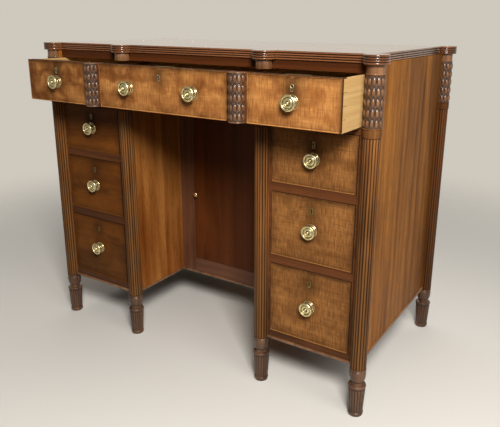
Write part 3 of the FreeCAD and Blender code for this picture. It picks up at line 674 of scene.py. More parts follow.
def make_knobs(sizes):
    """A turned knob on a stepped rose at each knob place, and the small one on the door."""
    knob = turned_brass(KNOB, KNOB_GROOVES)
    rose = turned_brass(ROSE, ROSE_GROOVES)
    for body, (knobs, _) in knob_places(sizes).items():
        frieze = body == "frieze_drawer"
        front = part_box("frieze_front" if frieze else body + "_front")[0]
        forms = []
        for x, z in knobs:
            place = (x, front.y + sizes.bead_proud, z)
            forms += [facing_front(knob, place), facing_front(rose, place)]
        nodes = ["frieze_knobs"] if frieze else [body + "_brass"]
        add_piece(body + "_turned_knobs", joined(forms), finish("brass"), body, nodes)
    place = (middle("cupboard_knob", X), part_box("cupboard_knob")[1].y, middle("cupboard_knob", Z))
    door_knob = facing_front(turned_brass(DOOR_KNOB, DOOR_KNOB_GROOVES), place)
    add_piece("cupboard_turned_knob", door_knob, finish("brass"), "cupboard_door",
              ["cupboard_knob"])


def keyhole_ring(grow, y):
    """A keyhole seen from the front, at a depth: a round eye over a slot that widens downwards, all
    set out by grow. The arc runs from one side of the slot over the top to the other."""
    radius = EYE + grow
    start = -math.pi / 2 + math.asin((KEY_SLOT + grow) / radius)
    angle = np.linspace(start, math.pi - start, EYE_POINTS)
    foot_x = 1.5 * KEY_SLOT + grow
    x = np.concatenate([radius * np.cos(angle), [-foot_x, foot_x]])
    z = np.concatenate([EYE_UP + radius * np.sin(angle), [-KEY_FOOT - grow, -KEY_FOOT - grow]])
    return np.stack([x, np.full_like(x, y), z], -1)


def escutcheon_form():
    """A thread of brass round a keyhole: six outlines, the first again as the last, joined in a
    closed loop with softened outer corners."""
    shoulder = -0.7 * THREAD_PROUD
    loop = [(THREAD, 0.0), (THREAD, shoulder), (0.75 * THREAD, -THREAD_PROUD),
            (0.25 * THREAD, -THREAD_PROUD), (0, shoulder), (0, 0.0), (THREAD, 0.0)]
    rings = np.stack([keyhole_ring(grow, y) for grow, y in loop])
    return shell(rings, start=False, end=False)


def make_locks(sizes):
    """An escutcheon with the painted shadow of its keyhole at each key place, and a lock case
    behind it.
    """
    escutcheon = escutcheon_form()
    hole = shell(np.stack([keyhole_ring(HOLE_GROW, 0.0), keyhole_ring(HOLE_GROW, -HOLE_PROUD)]))
    for body, (_, keys) in knob_places(sizes).items():
        frieze = body == "frieze_drawer"
        low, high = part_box("frieze_front" if frieze else body + "_front")
        places = [(x, low.y + sizes.bead_proud, z) for x, z in keys]
        cases = [block((x - LOCK_HALF, high.y, high.z - LOCK_HIGH),
                       (x + LOCK_HALF, high.y + LOCK_DEEP, high.z), chamfer=0.8 * MM)
                 for x, _ in keys]
        nodes = ["frieze_escutcheons"] if frieze else [body + "_brass"]
        add_piece(body + "_escutcheons", joined([moved(escutcheon, place) for place in places]),
                  finish("brass" if frieze else "old_brass"), body, nodes)
        add_piece(body + "_keyholes", joined([moved(hole, place) for place in places]),
                  finish("shadow"), body)
        nodes = ["frieze_locks"] if frieze else [body + "_brass"]
        add_piece(body + "_lock_cases", joined(cases), finish("old_brass"), body, nodes)


# Mouldings

BASE_BEAD_POINTS = 13                 # over the half round
BASE_BEAD_CLEAR = 18 * MM             # from a column's axis to the end of a bead


def half_round(start, end, outward, height, proud):
    """A half-round bead from start to end: half an ellipse standing out from a face, and
    two points on the face that close it."""
    turn = np.linspace(0, math.pi, BASE_BEAD_POINTS)
    out = np.concatenate([proud * np.sin(turn), [0, 0]])
    up = np.concatenate([height / 2 * (1 - np.cos(turn)), [height, 0]])
    section = out[:, None] * np.array(outward) + up[:, None] * np.array((0, 0, 1))
    return shell(np.stack([section + np.array(start), section + np.array(end)]))


def make_base_beads():
    """A bead along every lower edge of the carcass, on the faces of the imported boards."""
    low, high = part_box("base_beads")
    side_low, side_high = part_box("right_outer_side")
    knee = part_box("right_inner_side")[0].x
    inner_x, outer_x = middle("inner_right_column", X), middle("front_right_column", X)
    front_y, rear_y = middle("front_right_column", Y), middle("rear_right_column", Y)
    cupboard_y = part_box("cupboard_stiles")[0].y
    clear = BASE_BEAD_CLEAR
    height = high.z - low.z
    proud = high.x - side_high.x
    # start, end and outward direction of each run on the right half, mirrored to the left
    runs = [((inner_x + clear, side_low.y), (outer_x - clear, side_low.y), (0, -1)),
            ((side_high.x, front_y + clear), (side_high.x, rear_y - clear), (1, 0)),
            ((knee, front_y + clear), (knee, cupboard_y), (-1, 0))]
    forms = [half_round((sign * start[0], start[1], low.z), (sign * end[0], end[1], low.z),
                        (sign * out[0], out[1], 0), height, proud)
             for sign in (-1, 1) for start, end, out in runs]
    forms.append(half_round((-knee, cupboard_y, low.z), (knee, cupboard_y, low.z), (0, -1, 0),
                            height, proud))
    add_piece("base_half_round_beads", joined(forms), finish("carved"), "carcass",
              ["base_beads"])


# Finishes

LINE_WIDTH = 2.4 * MM                 # fine lines along the grain
PORE_WIDTH = 0.9 * MM                 # open pores, drawn about twice as wide as real ones to show
PORE_DARK = 1.2                       # pores are darker than lines by this much
FINE_RUN = 30                         # length of a line or a pore, in widths
RIPPLE_WIDTH, RIPPLE_RUN = 3 * MM, 8  # a streak of figured wood, and its length in widths
RIPPLE_PATCH = 0.4                    # how far clouds gather the ripple into patches
CLOUD_RUN, FIGURED_CLOUD_RUN = 4, 1.25       # length of a cloud, in widths
FIGURED_RUN = 30                      # figured wood has shorter bands than straight wood
CLOUD_SHARE = 0.6                     # weight of clouds beside bands
TONE_MIDDLE = 0.8                     # level of clouds and bands together that is half dark
BAND_WANDER = 1.4                     # how far clouds bend a band, in widths
SHADE_PATCH = 2.2                     # how far clouds shift a painted shade, in lengths of its fading
# Noise levels between which each mark comes in
RIPPLE_LEVELS, LINE_LEVELS, PORE_LEVELS = (0.55, 0.95), (0.45, 0.75), (0.58, 0.76)
# Hollows between which old wax and painted shade come in and wear and painted highlight go, and the
# most of each
WAX_AND_SHADE_LEVELS, WAX_AND_SHADE_MOST = (0.05, 0.75), 0.92
WEAR_AND_HIGHLIGHT_LEVELS, WEAR_AND_HIGHLIGHT_MOST = (-0.6, 0.0), 0.6
# Band levels between which polish turns from bright to dull, and its roughness beside the mean
DULL_LEVELS, BRIGHT_BAND, DULL_BAND = (0.3, 0.7), -0.04, 0.08
HOLLOW_DULL = 0.3                     # roughness added in the deepest hollows
# Painted shades lie between two places in metres, from where they are full to where they have gone
LEFT_SHADE_X = (-0.95, 0.25)                # painted shade over the left end of the wide drawer, where light falls off
SHADE_Y = (0.32, 0.06)                # painted shade along the rear edge of the outer sides
COLUMN_SHADE_Z = (0.2, 0.5)                   # painted shade over the lower end of the columns
LOW_SHADE_Z = (0.1, 0.4)                   # painted shade over the foot of kneehole sides, rails and left fronts

FINISH_NAMES = {
    "side": "polished mahogany, upright grain",
    "knee": "polished mahogany, kneehole",
    "front": "figured mahogany",
    "left_front": "figured mahogany, left fronts",
    "frieze": "faded figured mahogany",
    "turned": "turned mahogany",
    "rear_turned": "turned mahogany, rear columns",
    "carved": "carved mahogany",
    "foot": "turned mahogany, dusty feet",
    "stile": "polished mahogany, cupboard stiles",
    "dark_rail": "polished mahogany, cupboard rails",
    "top_rail": "polished mahogany, top rail",
    "rail": "polished mahogany, rails",
    "door": "polished mahogany, cupboard",
    "top": "French polished mahogany",
    "oak_long": "planed oak, front to back",
    "oak_wide": "planed oak, side to side",
    "pine_long": "sawn pine, front to back",
    "pine_wide": "sawn pine, side to side",
    "brass": "polished brass",
    "old_brass": "dull brass",
    "shadow": "keyhole shadow",
}


def finish(key):
    """A finish by its short name."""
    return bpy.data.materials[FINISH_NAMES[key]]


def add_node(tree, kind, inputs, **settings):
    """One node of a material: settings are its own properties, and each input is given a
    value, or linked where the value is another node's output."""
    made = tree.nodes.new(kind)
    for key, value in settings.items():
        setattr(made, key, value)
    for key, value in inputs.items():
        if isinstance(value, bpy.types.NodeSocket):
            tree.links.new(value, made.inputs[key])
        else:
            made.inputs[key].default_value = value
    return made.outputs


def new_material(name):
    """An empty node material."""
    material = bpy.data.materials.new(name)
    material.use_nodes = True
    material.node_tree.nodes.clear()
    return material, material.node_tree


def rgba(tone):
    """A colour with full alpha."""
    return (*tone, 1.0)


def drawn_out(axis, run):
    """Mapping scale that draws a pattern out along one axis to run times its width."""
    return 1 - np.eye(3)[axis] * (1 - 1 / run)


def wood(name, pale, dark, grain, band, cloud, grime_and_shade, figure=0.0, lines=0.3, rough=0.3, sheen=0.25,
         coat=0.0, soft=0.22, aged=None, run=80):
    """A planed and polished board. Broad clouds and bands drawn out along the grain axis run from
    the pale to the dark tone, fine lines follow the grain, and figured wood has a ripple of short
    streaks across it. Open pores are dark dashes. Old wax and painted shade darken the hollows, and
    crests are worn pale with a painted highlight. band and cloud are widths in millimetres, and run
    is the length of a band in widths. figure and lines are how dark the ripple and the lines are,
    and soft is half the spread of noise over which pale turns to dark. rough is the mean roughness,
    sheen the strength of the mirror and coat the clear film over it. aged is a tint that
    paints shade, the axis along which it lies and where it is full and where it has gone."""
    material, tree = new_material(name)
    node = partial(add_node, tree)
    cloud_run = FIGURED_CLOUD_RUN if figure else CLOUD_RUN
    place = node("ShaderNodeTexCoord", {})["Object"]
    long_way, fine_way, short_way = (
        node("ShaderNodeMapping", {"Vector": place, "Scale": drawn_out(grain, widths)})[0]
        for widths in (run, FINE_RUN, cloud_run))
    clouds = node("ShaderNodeTexNoise", {
        "Vector": short_way, "Scale": 1 / (cloud * MM), "Detail": 2.5, "Distortion": 0.6})[0]
    wander = (1 - np.eye(3)[grain]) * BAND_WANDER * band * MM
    bent = node("ShaderNodeVectorMath", {0: clouds, 1: wander, 2: long_way},
                operation="MULTIPLY_ADD")[0]
    bands = node("ShaderNodeTexNoise", {
        "Vector": bent, "Scale": 1 / (band * MM), "Detail": 5.0, "Roughness": 0.6})[0]
    both = node("ShaderNodeMath", {0: clouds, 1: CLOUD_SHARE, 2: bands},
                operation="MULTIPLY_ADD")[0]
    shade = node("ShaderNodeMapRange", {
        0: both, 1: TONE_MIDDLE - soft, 2: TONE_MIDDLE + soft, 3: 0.0, 4: 1.0})[0]
    tone = node("ShaderNodeMix", {0: shade, 6: rgba(pale), 7: rgba(dark)}, data_type="RGBA")[2]
    if figure:
        across = Z if grain != Z else X
        flame = node("ShaderNodeMapping", {
            "Vector": place, "Scale": drawn_out(across, RIPPLE_RUN)})[0]
        curl = node("ShaderNodeTexNoise", {
            "Vector": flame, "Scale": 1 / RIPPLE_WIDTH, "Detail": 2.0, "Roughness": 0.5,
            "Distortion": 0.1})[0]
        patchy = node("ShaderNodeMath", {0: clouds, 1: RIPPLE_PATCH, 2: curl},
                      operation="MULTIPLY_ADD")[0]
        low, high = RIPPLE_LEVELS
        streak = node("ShaderNodeMapRange", {0: patchy, 1: low, 2: high, 3: 0.0, 4: figure})[0]
        tone = node("ShaderNodeMix", {0: streak, 6: tone, 7: rgba(dark)}, data_type="RGBA")[2]
    rays = node("ShaderNodeTexNoise", {
        "Vector": fine_way, "Scale": 1 / LINE_WIDTH, "Detail": 3.0})[0]
    low, high = LINE_LEVELS
    line = node("ShaderNodeMapRange", {0: rays, 1: low, 2: high, 3: 0.0, 4: lines})[0]
    tone = node("ShaderNodeMix", {0: line, 6: tone, 7: rgba(dark)}, data_type="RGBA")[2]
    pores = node("ShaderNodeTexNoise", {
        "Vector": fine_way, "Scale": 1 / PORE_WIDTH, "Detail": 1.0})[0]
    low, high = PORE_LEVELS
    pore = node("ShaderNodeMapRange", {
        0: pores, 1: low, 2: high, 3: 0.0, 4: PORE_DARK * lines})[0]
    tone = node("ShaderNodeMix", {0: pore, 6: tone, 7: rgba(grime_and_shade)}, data_type="RGBA")[2]
    # painted shade: a darker tint laid along one axis, where light falls off
    if aged:
        tint, axis, full, gone = aged
        along = node("ShaderNodeSeparateXYZ", {0: place})[axis]
        patch = SHADE_PATCH * (gone - full)
        along = node("ShaderNodeMath", {0: clouds, 1: -patch, 2: along},
                     operation="MULTIPLY_ADD")[0]
        reach = node("ShaderNodeMapRange", {
            0: along, 1: full - patch / 2, 2: gone - patch / 2, 3: 1.0, 4: 0.0},
            interpolation_type="SMOOTHSTEP")[0]
        tone = node("ShaderNodeMix", {0: reach, 6: tone, 7: rgba(tint)},
                    data_type="RGBA", blend_type="MULTIPLY")[2]
    # Old wax and painted shade darken the hollows, and worn crests take a painted highlight
    hollow = node("ShaderNodeAttribute", {}, attribute_name="hollow")["Fac"]
    low, high = WAX_AND_SHADE_LEVELS
    wax_and_shade = node("ShaderNodeMapRange", {0: hollow, 1: low, 2: high, 3: 0.0, 4: WAX_AND_SHADE_MOST})[0]
    tone = node("ShaderNodeMix", {0: wax_and_shade, 6: tone, 7: rgba(grime_and_shade)}, data_type="RGBA")[2]
    low, high = WEAR_AND_HIGHLIGHT_LEVELS
    wear_and_highlight = node("ShaderNodeMapRange", {0: hollow, 1: low, 2: high, 3: WEAR_AND_HIGHLIGHT_MOST, 4: 0.0})[0]
    tone = node("ShaderNodeMix", {0: wear_and_highlight, 6: tone, 7: rgba(pale)}, data_type="RGBA")[2]
    # dark bands are duller than pale ones, and hollows duller still
    low, high = DULL_LEVELS
    polish = node("ShaderNodeMapRange", {
        0: bands, 1: low, 2: high, 3: rough + BRIGHT_BAND, 4: rough + DULL_BAND})[0]
    dull = node("ShaderNodeMath", {0: hollow, 1: HOLLOW_DULL, 2: polish},
                operation="MULTIPLY_ADD")[0]
    relief = node("ShaderNodeBump", {"Height": pores, "Strength": 0.15, "Distance": 0.2 * MM},
                  invert=True)[0]
    surface = node("ShaderNodeBsdfPrincipled", {
        "Base Color": tone, "Roughness": dull, "Normal": relief, "IOR": 1.5,
        "Specular IOR Level": sheen, "Coat Weight": coat, "Coat Roughness": 0.1})[0]
    node("ShaderNodeOutputMaterial", {"Surface": surface})
    return material


MARK_WIDTH, MARK_LEVELS = 6 * MM, (0.42, 0.72)       # a patch of handling marks on brass
GROOVE_LEVELS, GROOVE_MOST = (0.15, 0.9), 0.95       # hollows between which tarnish comes in
TARNISH_DULL = 0.3                    # roughness added where brass is brown
SPECK_WIDTH, SPECK_LEVELS, SPECK_MOST = 2 * MM, (0.4, 0.8), 0.3      # dust in a keyhole


def brass(name, bright, tarnish, rough, age):
    """Turned and polished brass: a pale yellow metal with patchy handling marks, and brown tarnish
    left in the grooves. rough is its roughness where it is bright, and age is how brown the marks
    are."""
    material, tree = new_material(name)
    node = partial(add_node, tree)
    place = node("ShaderNodeTexCoord", {})["Object"]
    patches = node("ShaderNodeTexNoise", {
        "Vector": place, "Scale": 1 / MARK_WIDTH, "Detail": 5.0})[0]
    hollow = node("ShaderNodeAttribute", {}, attribute_name="hollow")["Fac"]
    low, high = MARK_LEVELS
    marks = node("ShaderNodeMapRange", {0: patches, 1: low, 2: high, 3: 0.0, 4: age})[0]
    low, high = GROOVE_LEVELS
    groove = node("ShaderNodeMapRange", {0: hollow, 1: low, 2: high, 3: 0.0, 4: GROOVE_MOST})[0]
    worn = node("ShaderNodeMath", {0: marks, 1: groove}, operation="MAXIMUM")[0]
    tone = node("ShaderNodeMix", {0: worn, 6: rgba(bright), 7: rgba(tarnish)}, data_type="RGBA")[2]
    dull = node("ShaderNodeMapRange", {
        0: worn, 1: 0.0, 2: 1.0, 3: rough, 4: rough + TARNISH_DULL})[0]
    haze = node("ShaderNodeBump", {"Height": patches, "Strength": 0.1, "Distance": 0.2 * MM})[0]
    surface = node("ShaderNodeBsdfPrincipled", {
        "Base Color": tone, "Metallic": 1.0, "Roughness": dull, "Normal": haze})[0]
    node("ShaderNodeOutputMaterial", {"Surface": surface})
    return material


def shadow(name, tone, dust):
    """A painted shadow for the inside of a keyhole: near-black brown with a little dust."""
    material, tree = new_material(name)
    node = partial(add_node, tree)
    place = node("ShaderNodeTexCoord", {})["Object"]
    specks = node("ShaderNodeTexNoise", {"Vector": place, "Scale": 1 / SPECK_WIDTH})[0]
    low, high = SPECK_LEVELS
    amount = node("ShaderNodeMapRange", {0: specks, 1: low, 2: high, 3: 0.0, 4: SPECK_MOST})[0]
    shade = node("ShaderNodeMix", {0: amount, 6: rgba(tone), 7: rgba(dust)}, data_type="RGBA")[2]
    surface = node("ShaderNodeBsdfPrincipled", {"Base Color": shade, "Roughness": 0.9})[0]
    node("ShaderNodeOutputMaterial", {"Surface": surface})
    return material


def make_finishes(tones):
    """Every finish of the desk, from its colours."""
    name = FINISH_NAMES
    mahogany = partial(wood, grime_and_shade=tones.grime_and_shade)
    # Wax-polished outer sides: broad pale and dark streaks up the board, a low sheen, painted shade
    # at the rear edge
    mahogany(name["side"], tones.side_pale, tones.side_dark, Z, 22, 120, lines=0.75, rough=0.42,
             sheen=0.07, soft=0.27, run=36, aged=(tones.painted_rear_shade, Y, *SHADE_Y))
    # Kneehole sides: the same polish on paler wood, with painted shade at the foot
    mahogany(name["knee"], tones.knee_pale, tones.knee_dark, Z, 30, 120, lines=0.6, rough=0.4,
             sheen=0.08, soft=0.28, aged=(tones.painted_knee_foot_shade, Z, *LOW_SHADE_Z))
    # Figured veneer: a fine upright ripple in patches across faint level grain
    mahogany(name["front"], tones.front_pale, tones.front_dark, X, 20, 50, figure=0.9, lines=0.4,
             rough=0.38, sheen=0.1, soft=0.45, run=FIGURED_RUN)
    # The left fronts: deeper brown as painted shade, more polish left on them, the ripple hardly to
    # be seen
    mahogany(name["left_front"], tones.shaded_left_front_pale, tones.shaded_left_front_dark, X, 20, 80,
             figure=0.3, lines=0.3, rough=0.3, sheen=0.08, soft=0.45, run=FIGURED_RUN,
             aged=(tones.painted_low_shade, Z, *LOW_SHADE_Z))
    # The same veneer faded by sun to gold, with painted shade darkening it towards the left
    mahogany(name["frieze"], tones.frieze_pale, tones.frieze_dark, X, 24, 36, figure=0.85,
             lines=0.35, rough=0.38, sheen=0.1, soft=0.34, run=FIGURED_RUN,
             aged=(tones.painted_left_shade, X, *LEFT_SHADE_X))
    # Turned shafts: straight grain with a soft gleam and painted highlight along worn reeds,
    # dark with wax and painted shade between them, and painted shade near the floor
    mahogany(name["turned"], tones.turned_pale, tones.turned_dark, Z, 12, 70, lines=0.3, rough=0.3,
             sheen=0.1, aged=(tones.painted_low_shade, Z, *COLUMN_SHADE_Z))
    # Rear shafts: the same turning in darker tones, painted shade away from the light
    mahogany(name["rear_turned"], tones.shaded_rear_pale, tones.shaded_rear_dark, Z, 12, 70, lines=0.3, rough=0.3,
             sheen=0.1, aged=(tones.painted_low_shade, Z, *COLUMN_SHADE_Z))
    # Carving and base beads: glossy crests, hollows black with old wax and painted shade
    mahogany(name["carved"], tones.carved_pale, tones.carved_dark, Z, 12, 70, lines=0.2, rough=0.25,
             sheen=0.45, coat=0.32)
    # Turned feet: darker and greyer with floor dust and wax, the polish still shiny on the rings
    mahogany(name["foot"], tones.foot_pale, tones.foot_dark, Z, 12, 40, lines=0.2, rough=0.26,
             sheen=0.3, coat=0.15)
    # Rails and stiles round the drawers: straight level grain, darker than the fronts, with painted
    # shade near the floor
    mahogany(name["rail"], tones.rail_pale, tones.rail_dark, X, 14, 90, lines=0.3, rough=0.36,
             sheen=0.12, aged=(tones.painted_low_shade, Z, *LOW_SHADE_Z))
    # Top rail: the door's deep brown, painted shade for the shadow of the top
    mahogany(name["top_rail"], tones.door_pale, tones.door_dark, X, 14, 90, lines=0.3, rough=0.36,
             sheen=0.12)
    # Cupboard frame: a greyer brown, partly painted sheen, with a dull shine, its rails level and
    # its stiles upright
    mahogany(name["dark_rail"], tones.stile_pale, tones.stile_dark, X, 14, 90, lines=0.3, rough=0.4,
             sheen=0.3)
    mahogany(name["stile"], tones.stile_pale, tones.stile_dark, Z, 14, 90, lines=0.3, rough=0.4,
             sheen=0.3)
    # Cupboard door: broad quiet streaks, deep red brown
    mahogany(name["door"], tones.door_pale, tones.door_dark, Z, 40, 140, lines=0.3, rough=0.36,
             sheen=0.12)
    # French polish: a clear film that mirrors the room at a low angle
    mahogany(name["top"], tones.top_pale, tones.top_dark, X, 30, 120, lines=0.3, rough=0.16,
             sheen=0.1, coat=1.0)
    for way, grain in (("long", Y), ("wide", X)):
        # Bare oak: pale straw with darker growth bands and long pores, no polish
        wood(name["oak_" + way], tones.oak_pale, tones.oak_dark, grain, 8, 60, tones.oak_dark,
             lines=0.5, rough=0.6)
        # Bare pine, browned with age: broad soft bands and no shine
        wood(name["pine_" + way], tones.pine_pale, tones.pine_dark, grain, 14, 90, tones.pine_dark,
             lines=0.4, rough=0.7)
    # Knobs and frieze keyholes: rubbed bright, soft mirrors with brown grooves
    brass(name["brass"], tones.brass, tones.tarnish, rough=0.27, age=0.35)
    # Locks, hinges and the other keyholes: never rubbed, dull and mostly brown
    brass(name["old_brass"], tones.old_brass, tones.tarnish, rough=0.4, age=0.9)
    # Keyholes: a painted shadow, nearly black, without shine
    shadow(name["shadow"], tones.keyhole, tones.keyhole_dust)


# Packed boards that keep their shape: finish and the nodes that wear it
BOARD_FINISHES = {
    "side": ["left_outer_side", "right_outer_side"],
    "knee": ["left_inner_side", "right_inner_side"],
    "top_rail": ["top_rail"],
    "rail": ["frieze_rail", "drawer_stiles", "drawer_dividers", "left_pedestal_bottom",
             "right_pedestal_bottom"],
    "carved": ["neck_blocks"],
    "dark_rail": ["cupboard_rails"],
    "stile": ["cupboard_stiles"],
    "door": ["cupboard_door"],
    "oak_long": ["frieze_sides"] + [body + "_box" for body in PEDESTAL_DRAWERS],
    "oak_wide": ["frieze_back", "frieze_bottom"],
    "pine_long": ["drawer_runners", "drawer_guides", "drawer_stops", "cupboard_bottom"],
    "pine_wide": ["back_board", "dust_board", "door_stop"],
    "old_brass": ["hinge_frame_leaves", "hinge_door_leaves", "hinge_pins"],
}
ARRIS = 0.7 * MM                      # width of a softened edge


def dress_boards():
    """Give each packed board its finish and a softened arris, but for hinges and for drawer boxes,
    whose touching boards would be welded together."""
    for key, nodes in BOARD_FINISHES.items():
        for node in nodes:
            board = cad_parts[node]
            board.data.materials.clear()
            board.data.materials.append(finish(key))
            if "hinge" not in node and "_box" not in node:
                weld = board.modifiers.new("welded", "WELD")
                weld.merge_threshold = WELD
                arris = board.modifiers.new("arris", "BEVEL")
                arris.width = ARRIS
                arris.segments = 2
                arris.limit_method = "ANGLE"
                arris.angle_limit = SHARP


# Stage, in metres

CAMERA_PLACE = Vector((0.8736, -1.26145, 0.8499))
CAMERA_YAW, CAMERA_PITCH, CAMERA_ROLL = (math.radians(angle) for angle in (32.17, 16.21, 0.38))
CAMERA_SENSOR, CAMERA_LENS = 36, 42.14       # millimetres
CAMERA_SHIFT = (-0.0204, -0.0464)     # the photograph's centre lies off the lens axis
FLOOR_REACH = 2.6                     # radius of the floor
FLOOR_FADE = (0.7, 2.2)               # where it begins to thin out, and where it has gone
FLOOR_RADII = np.append(0.001, np.linspace(0.1, FLOOR_REACH, 27))    # of its rings
FLOOR_POINTS = 96                     # round each ring
ROOM_TURN = 0.4                       # level of Y at which the mirrored room is quite dim or bright
LAMP_AIM = (0, 0, 0.45)               # the middle of the desk
WARM_WHITE, WHITE = (1, 0.98, 0.95), (1, 1, 1)


def make_camera():
    """The camera at the photograph's place and angle."""
    forward = Vector((-math.sin(CAMERA_YAW) * math.cos(CAMERA_PITCH),
                      math.cos(CAMERA_YAW) * math.cos(CAMERA_PITCH), -math.sin(CAMERA_PITCH)))
    level = Vector((math.cos(CAMERA_YAW), math.sin(CAMERA_YAW), 0))
    upright = level.cross(forward)
    right = level * math.cos(CAMERA_ROLL) + upright * math.sin(CAMERA_ROLL)
    up = upright * math.cos(CAMERA_ROLL) - level * math.sin(CAMERA_ROLL)
    camera = bpy.data.cameras.new("camera")
    camera.sensor_width = CAMERA_SENSOR
    camera.lens = CAMERA_LENS
    camera.shift_x, camera.shift_y = CAMERA_SHIFT
    holder = bpy.data.objects.new("camera", camera)
    turn = Matrix((right, up, -forward)).transposed().to_4x4()
    holder.matrix_world = Matrix.Translation(CAMERA_PLACE) @ turn
    bpy.context.scene.collection.objects.link(holder)
    bpy.context.scene.camera = holder


def make_floor(tone, dim):
    """A round floor: rings of growing radius. It thins out towards its rim, so that it runs into
    the background with no edge, and it is pale where it is seen or mirrored and dimmer where it
    lights the desk."""
    radii = FLOOR_RADII[:, None]
    turn = np.linspace(0, FULL_TURN, FLOOR_POINTS, endpoint=False)
    rings = np.stack([radii * np.cos(turn), radii * np.sin(turn),
                      np.zeros((len(radii), len(turn)))], -1)
    mesh = bpy.data.meshes.new("floor")
    faces = quads(len(radii), len(turn))[:, ::-1]
    mesh.from_pydata(rings.reshape(-1, 3).tolist(), [], faces.tolist())
    # Matt paper: even and without shine
    material, tree = new_material("pale paper")
    node = partial(add_node, tree)
    place = node("ShaderNodeTexCoord", {})["Object"]
    away = node("ShaderNodeVectorMath", {0: place}, operation="LENGTH")[1]
    near, far = FLOOR_FADE
    solid = node("ShaderNodeMapRange", {0: away, 1: near, 2: far, 3: 1.0, 4: 0.0},
                 interpolation_type="SMOOTHSTEP")[0]
    ray = node("ShaderNodeLightPath", {})
    seen = node("ShaderNodeMath", {0: ray["Is Camera Ray"], 1: ray["Is Glossy Ray"]},
                operation="MAXIMUM")[0]
    shade = node("ShaderNodeMix", {0: seen, 6: rgba(dim), 7: rgba(tone)}, data_type="RGBA")[2]
    paper = node("ShaderNodeBsdfPrincipled", {
        "Base Color": shade, "Roughness": 0.85, "Alpha": solid})[0]
    node("ShaderNodeOutputMaterial", {"Surface": paper})
    mesh.materials.append(material)
    floor = bpy.data.objects.new("floor", mesh)
    bpy.context.scene.collection.objects.link(floor)
    return floor


def add_lamp(name, place, size, power, tone=WHITE, mirrored=False, spread=180):
    """A square soft lamp that faces the desk, with a spread in degrees, and that polish mirrors
    or not."""
    lamp = bpy.data.lights.new(name, "AREA")
    lamp.shape = "SQUARE"
    lamp.size = size
    lamp.energy = power
    lamp.color = tone
    lamp.spread = math.radians(spread)
    holder = bpy.data.objects.new(name, lamp)
    holder.location = place
    aim = Vector(LAMP_AIM) - Vector(place)
    holder.rotation_euler = aim.to_track_quat("-Z", "Y").to_euler()
    holder.visible_camera = False
    holder.visible_glossy = mirrored
    bpy.context.scene.collection.objects.link(holder)
    return holder


def spare(lamp, piece):
    """Keep a lamp's light off one piece."""
    spared = bpy.data.collections.new(lamp.name + " spares")
    spared.objects.link(piece)
    spared.collection_objects[0].light_linking.link_state = "EXCLUDE"
    lamp.light_linking.receiver_collection = spared


def make_world(backdrop, ambient, dim, bright):
    """A pale backdrop wherever it is seen directly. Mirrored, it is pale beyond the desk and dim
    before it, as a room behind the camera is, and elsewhere it is a weak room light."""
    world = bpy.data.worlds.new("pale room")
    world.use_nodes = True
    tree = world.node_tree
    tree.nodes.clear()
    node = partial(add_node, tree)
    ray = node("ShaderNodeLightPath", {})
    ahead = node("ShaderNodeSeparateXYZ", {0: node("ShaderNodeTexCoord", {})["Generated"]})[Y]
    mirrored = node("ShaderNodeMapRange", {
        0: ahead, 1: -ROOM_TURN, 2: ROOM_TURN, 3: dim, 4: bright})[0]
    seen = node("ShaderNodeMath", {0: ray["Is Glossy Ray"], 1: ray["Is Transmission Ray"]},
                operation="MAXIMUM")[0]
    strength = node("ShaderNodeMix", {0: seen, 2: ambient, 3: mirrored})[0]
    strength = node("ShaderNodeMath", {0: strength, 1: ray["Is Camera Ray"]},
                    operation="MAXIMUM")[0]
    sky = node("ShaderNodeBackground", {"Color": rgba(backdrop), "Strength": strength})[0]
    node("ShaderNodeOutputWorld", {"Surface": sky})
    bpy.context.scene.world = world


def make_stage(colours):
    """Floor, lamps, backdrop and camera."""
    floor = make_floor(colours.floor, colours.floor_bounce)
    add_lamp("key", (1.2, -1.42, 1.66), size=0.55, power=50, tone=WARM_WHITE, mirrored=True)
    add_lamp("window", (2.1, -0.8, 1.5), size=1.2, power=15)
    add_lamp("ceiling", (-0.4, 0.7, 2.7), size=2.0, power=18)
    rear = add_lamp("rear", (-1.6, 1.6, 1.6), size=0.9, power=4, spread=44)
    spare(rear, floor)
    make_world(colours.backdrop, ambient=0.04, dim=0.6, bright=1.03)
    bpy.context.scene.view_settings.view_transform = "Standard"
    make_camera()


# Operators


class DESK_OT_finishes(bpy.types.Operator):
    """Make the woods and metals of the desk"""
    bl_idname = "desk.finishes"
    bl_label = "Finishes"

    def execute(self, context):
        make_finishes(context.scene.desk_colours)
        return {"FINISHED"}


class DESK_OT_boards(bpy.types.Operator):
    """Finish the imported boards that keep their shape"""
    bl_idname = "desk.boards"
    bl_label = "Boards"

    def execute(self, context):
        dress_boards()
        return {"FINISHED"}


class DESK_OT_top(bpy.types.Operator):
    """Make the top with its reeded edge"""
    bl_idname = "desk.top"
    bl_label = "Top"

    def execute(self, context):
        make_top(context.scene.desk_sizes)
        return {"FINISHED"}


class DESK_OT_columns(bpy.types.Operator):
    """Turn the six reeded columns with their feet and carved drums"""
    bl_idname = "desk.columns"
    bl_label = "Columns"

    def execute(self, context):
        make_columns(context.scene.desk_sizes)
        return {"FINISHED"}


class DESK_OT_pilasters(bpy.types.Operator):
    """Carve the two half drums on the wide drawer"""
    bl_idname = "desk.pilasters"
    bl_label = "Pilasters"

    def execute(self, context):
        make_pilasters(context.scene.desk_sizes)
        return {"FINISHED"}


class DESK_OT_drawer_fronts(bpy.types.Operator):
    """Make the beaded drawer fronts and their dovetails"""
    bl_idname = "desk.drawer_fronts"
    bl_label = "Drawer fronts"

    def execute(self, context):
        make_drawer_fronts(context.scene.desk_sizes)
        make_dovetails()
        return {"FINISHED"}


class DESK_OT_knobs(bpy.types.Operator):
    """Turn the brass knobs and roses"""
    bl_idname = "desk.knobs"
    bl_label = "Knobs"

    def execute(self, context):
        make_knobs(context.scene.desk_sizes)
        return {"FINISHED"}


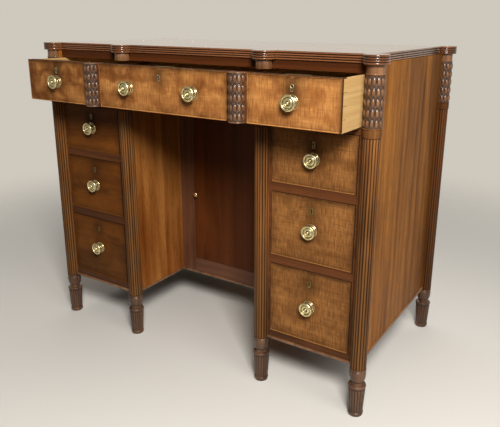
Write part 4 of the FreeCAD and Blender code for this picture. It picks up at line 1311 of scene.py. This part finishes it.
class DESK_OT_locks(bpy.types.Operator):
    """Make the escutcheons, keyholes and lock cases"""
    bl_idname = "desk.locks"
    bl_label = "Locks"

    def execute(self, context):
        make_locks(context.scene.desk_sizes)
        return {"FINISHED"}


class DESK_OT_base_beads(bpy.types.Operator):
    """Run the half-round bead along the lower edges"""
    bl_idname = "desk.base_beads"
    bl_label = "Base beads"

    def execute(self, context):
        make_base_beads()
        return {"FINISHED"}


class DESK_OT_stage(bpy.types.Operator):
    """Set the floor, lamps, backdrop and camera"""
    bl_idname = "desk.stage"
    bl_label = "Stage"

    def execute(self, context):
        make_stage(context.scene.desk_colours)
        return {"FINISHED"}


STEPS = (DESK_OT_finishes, DESK_OT_boards, DESK_OT_top, DESK_OT_columns, DESK_OT_pilasters,
         DESK_OT_drawer_fronts, DESK_OT_knobs, DESK_OT_locks, DESK_OT_base_beads, DESK_OT_stage)


class DESK_PT_panel(bpy.types.Panel):
    """The steps of the desk in the sidebar"""
    bl_idname = "DESK_PT_panel"
    bl_label = "Desk"
    bl_space_type = "VIEW_3D"
    bl_region_type = "UI"
    bl_category = "Desk"

    def draw(self, context):
        for step in STEPS:
            self.layout.operator(step.bl_idname)


CLASSES = (DeskSizes, DeskColours) + STEPS + (DESK_PT_panel,)


def register():
    for item in CLASSES:
        bpy.utils.register_class(item)
    bpy.types.Scene.desk_sizes = PointerProperty(type=DeskSizes)
    bpy.types.Scene.desk_colours = PointerProperty(type=DeskColours)


def unregister():
    del bpy.types.Scene.desk_colours
    del bpy.types.Scene.desk_sizes
    for item in reversed(CLASSES):
        bpy.utils.unregister_class(item)


def main():
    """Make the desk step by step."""
    register()
    bpy.ops.desk.finishes()
    bpy.ops.desk.boards()
    bpy.ops.desk.top()
    bpy.ops.desk.columns()
    bpy.ops.desk.pilasters()
    bpy.ops.desk.drawer_fronts()
    bpy.ops.desk.knobs()
    bpy.ops.desk.locks()
    bpy.ops.desk.base_beads()
    bpy.ops.desk.stage()


if __name__ == "__main__":
    main()
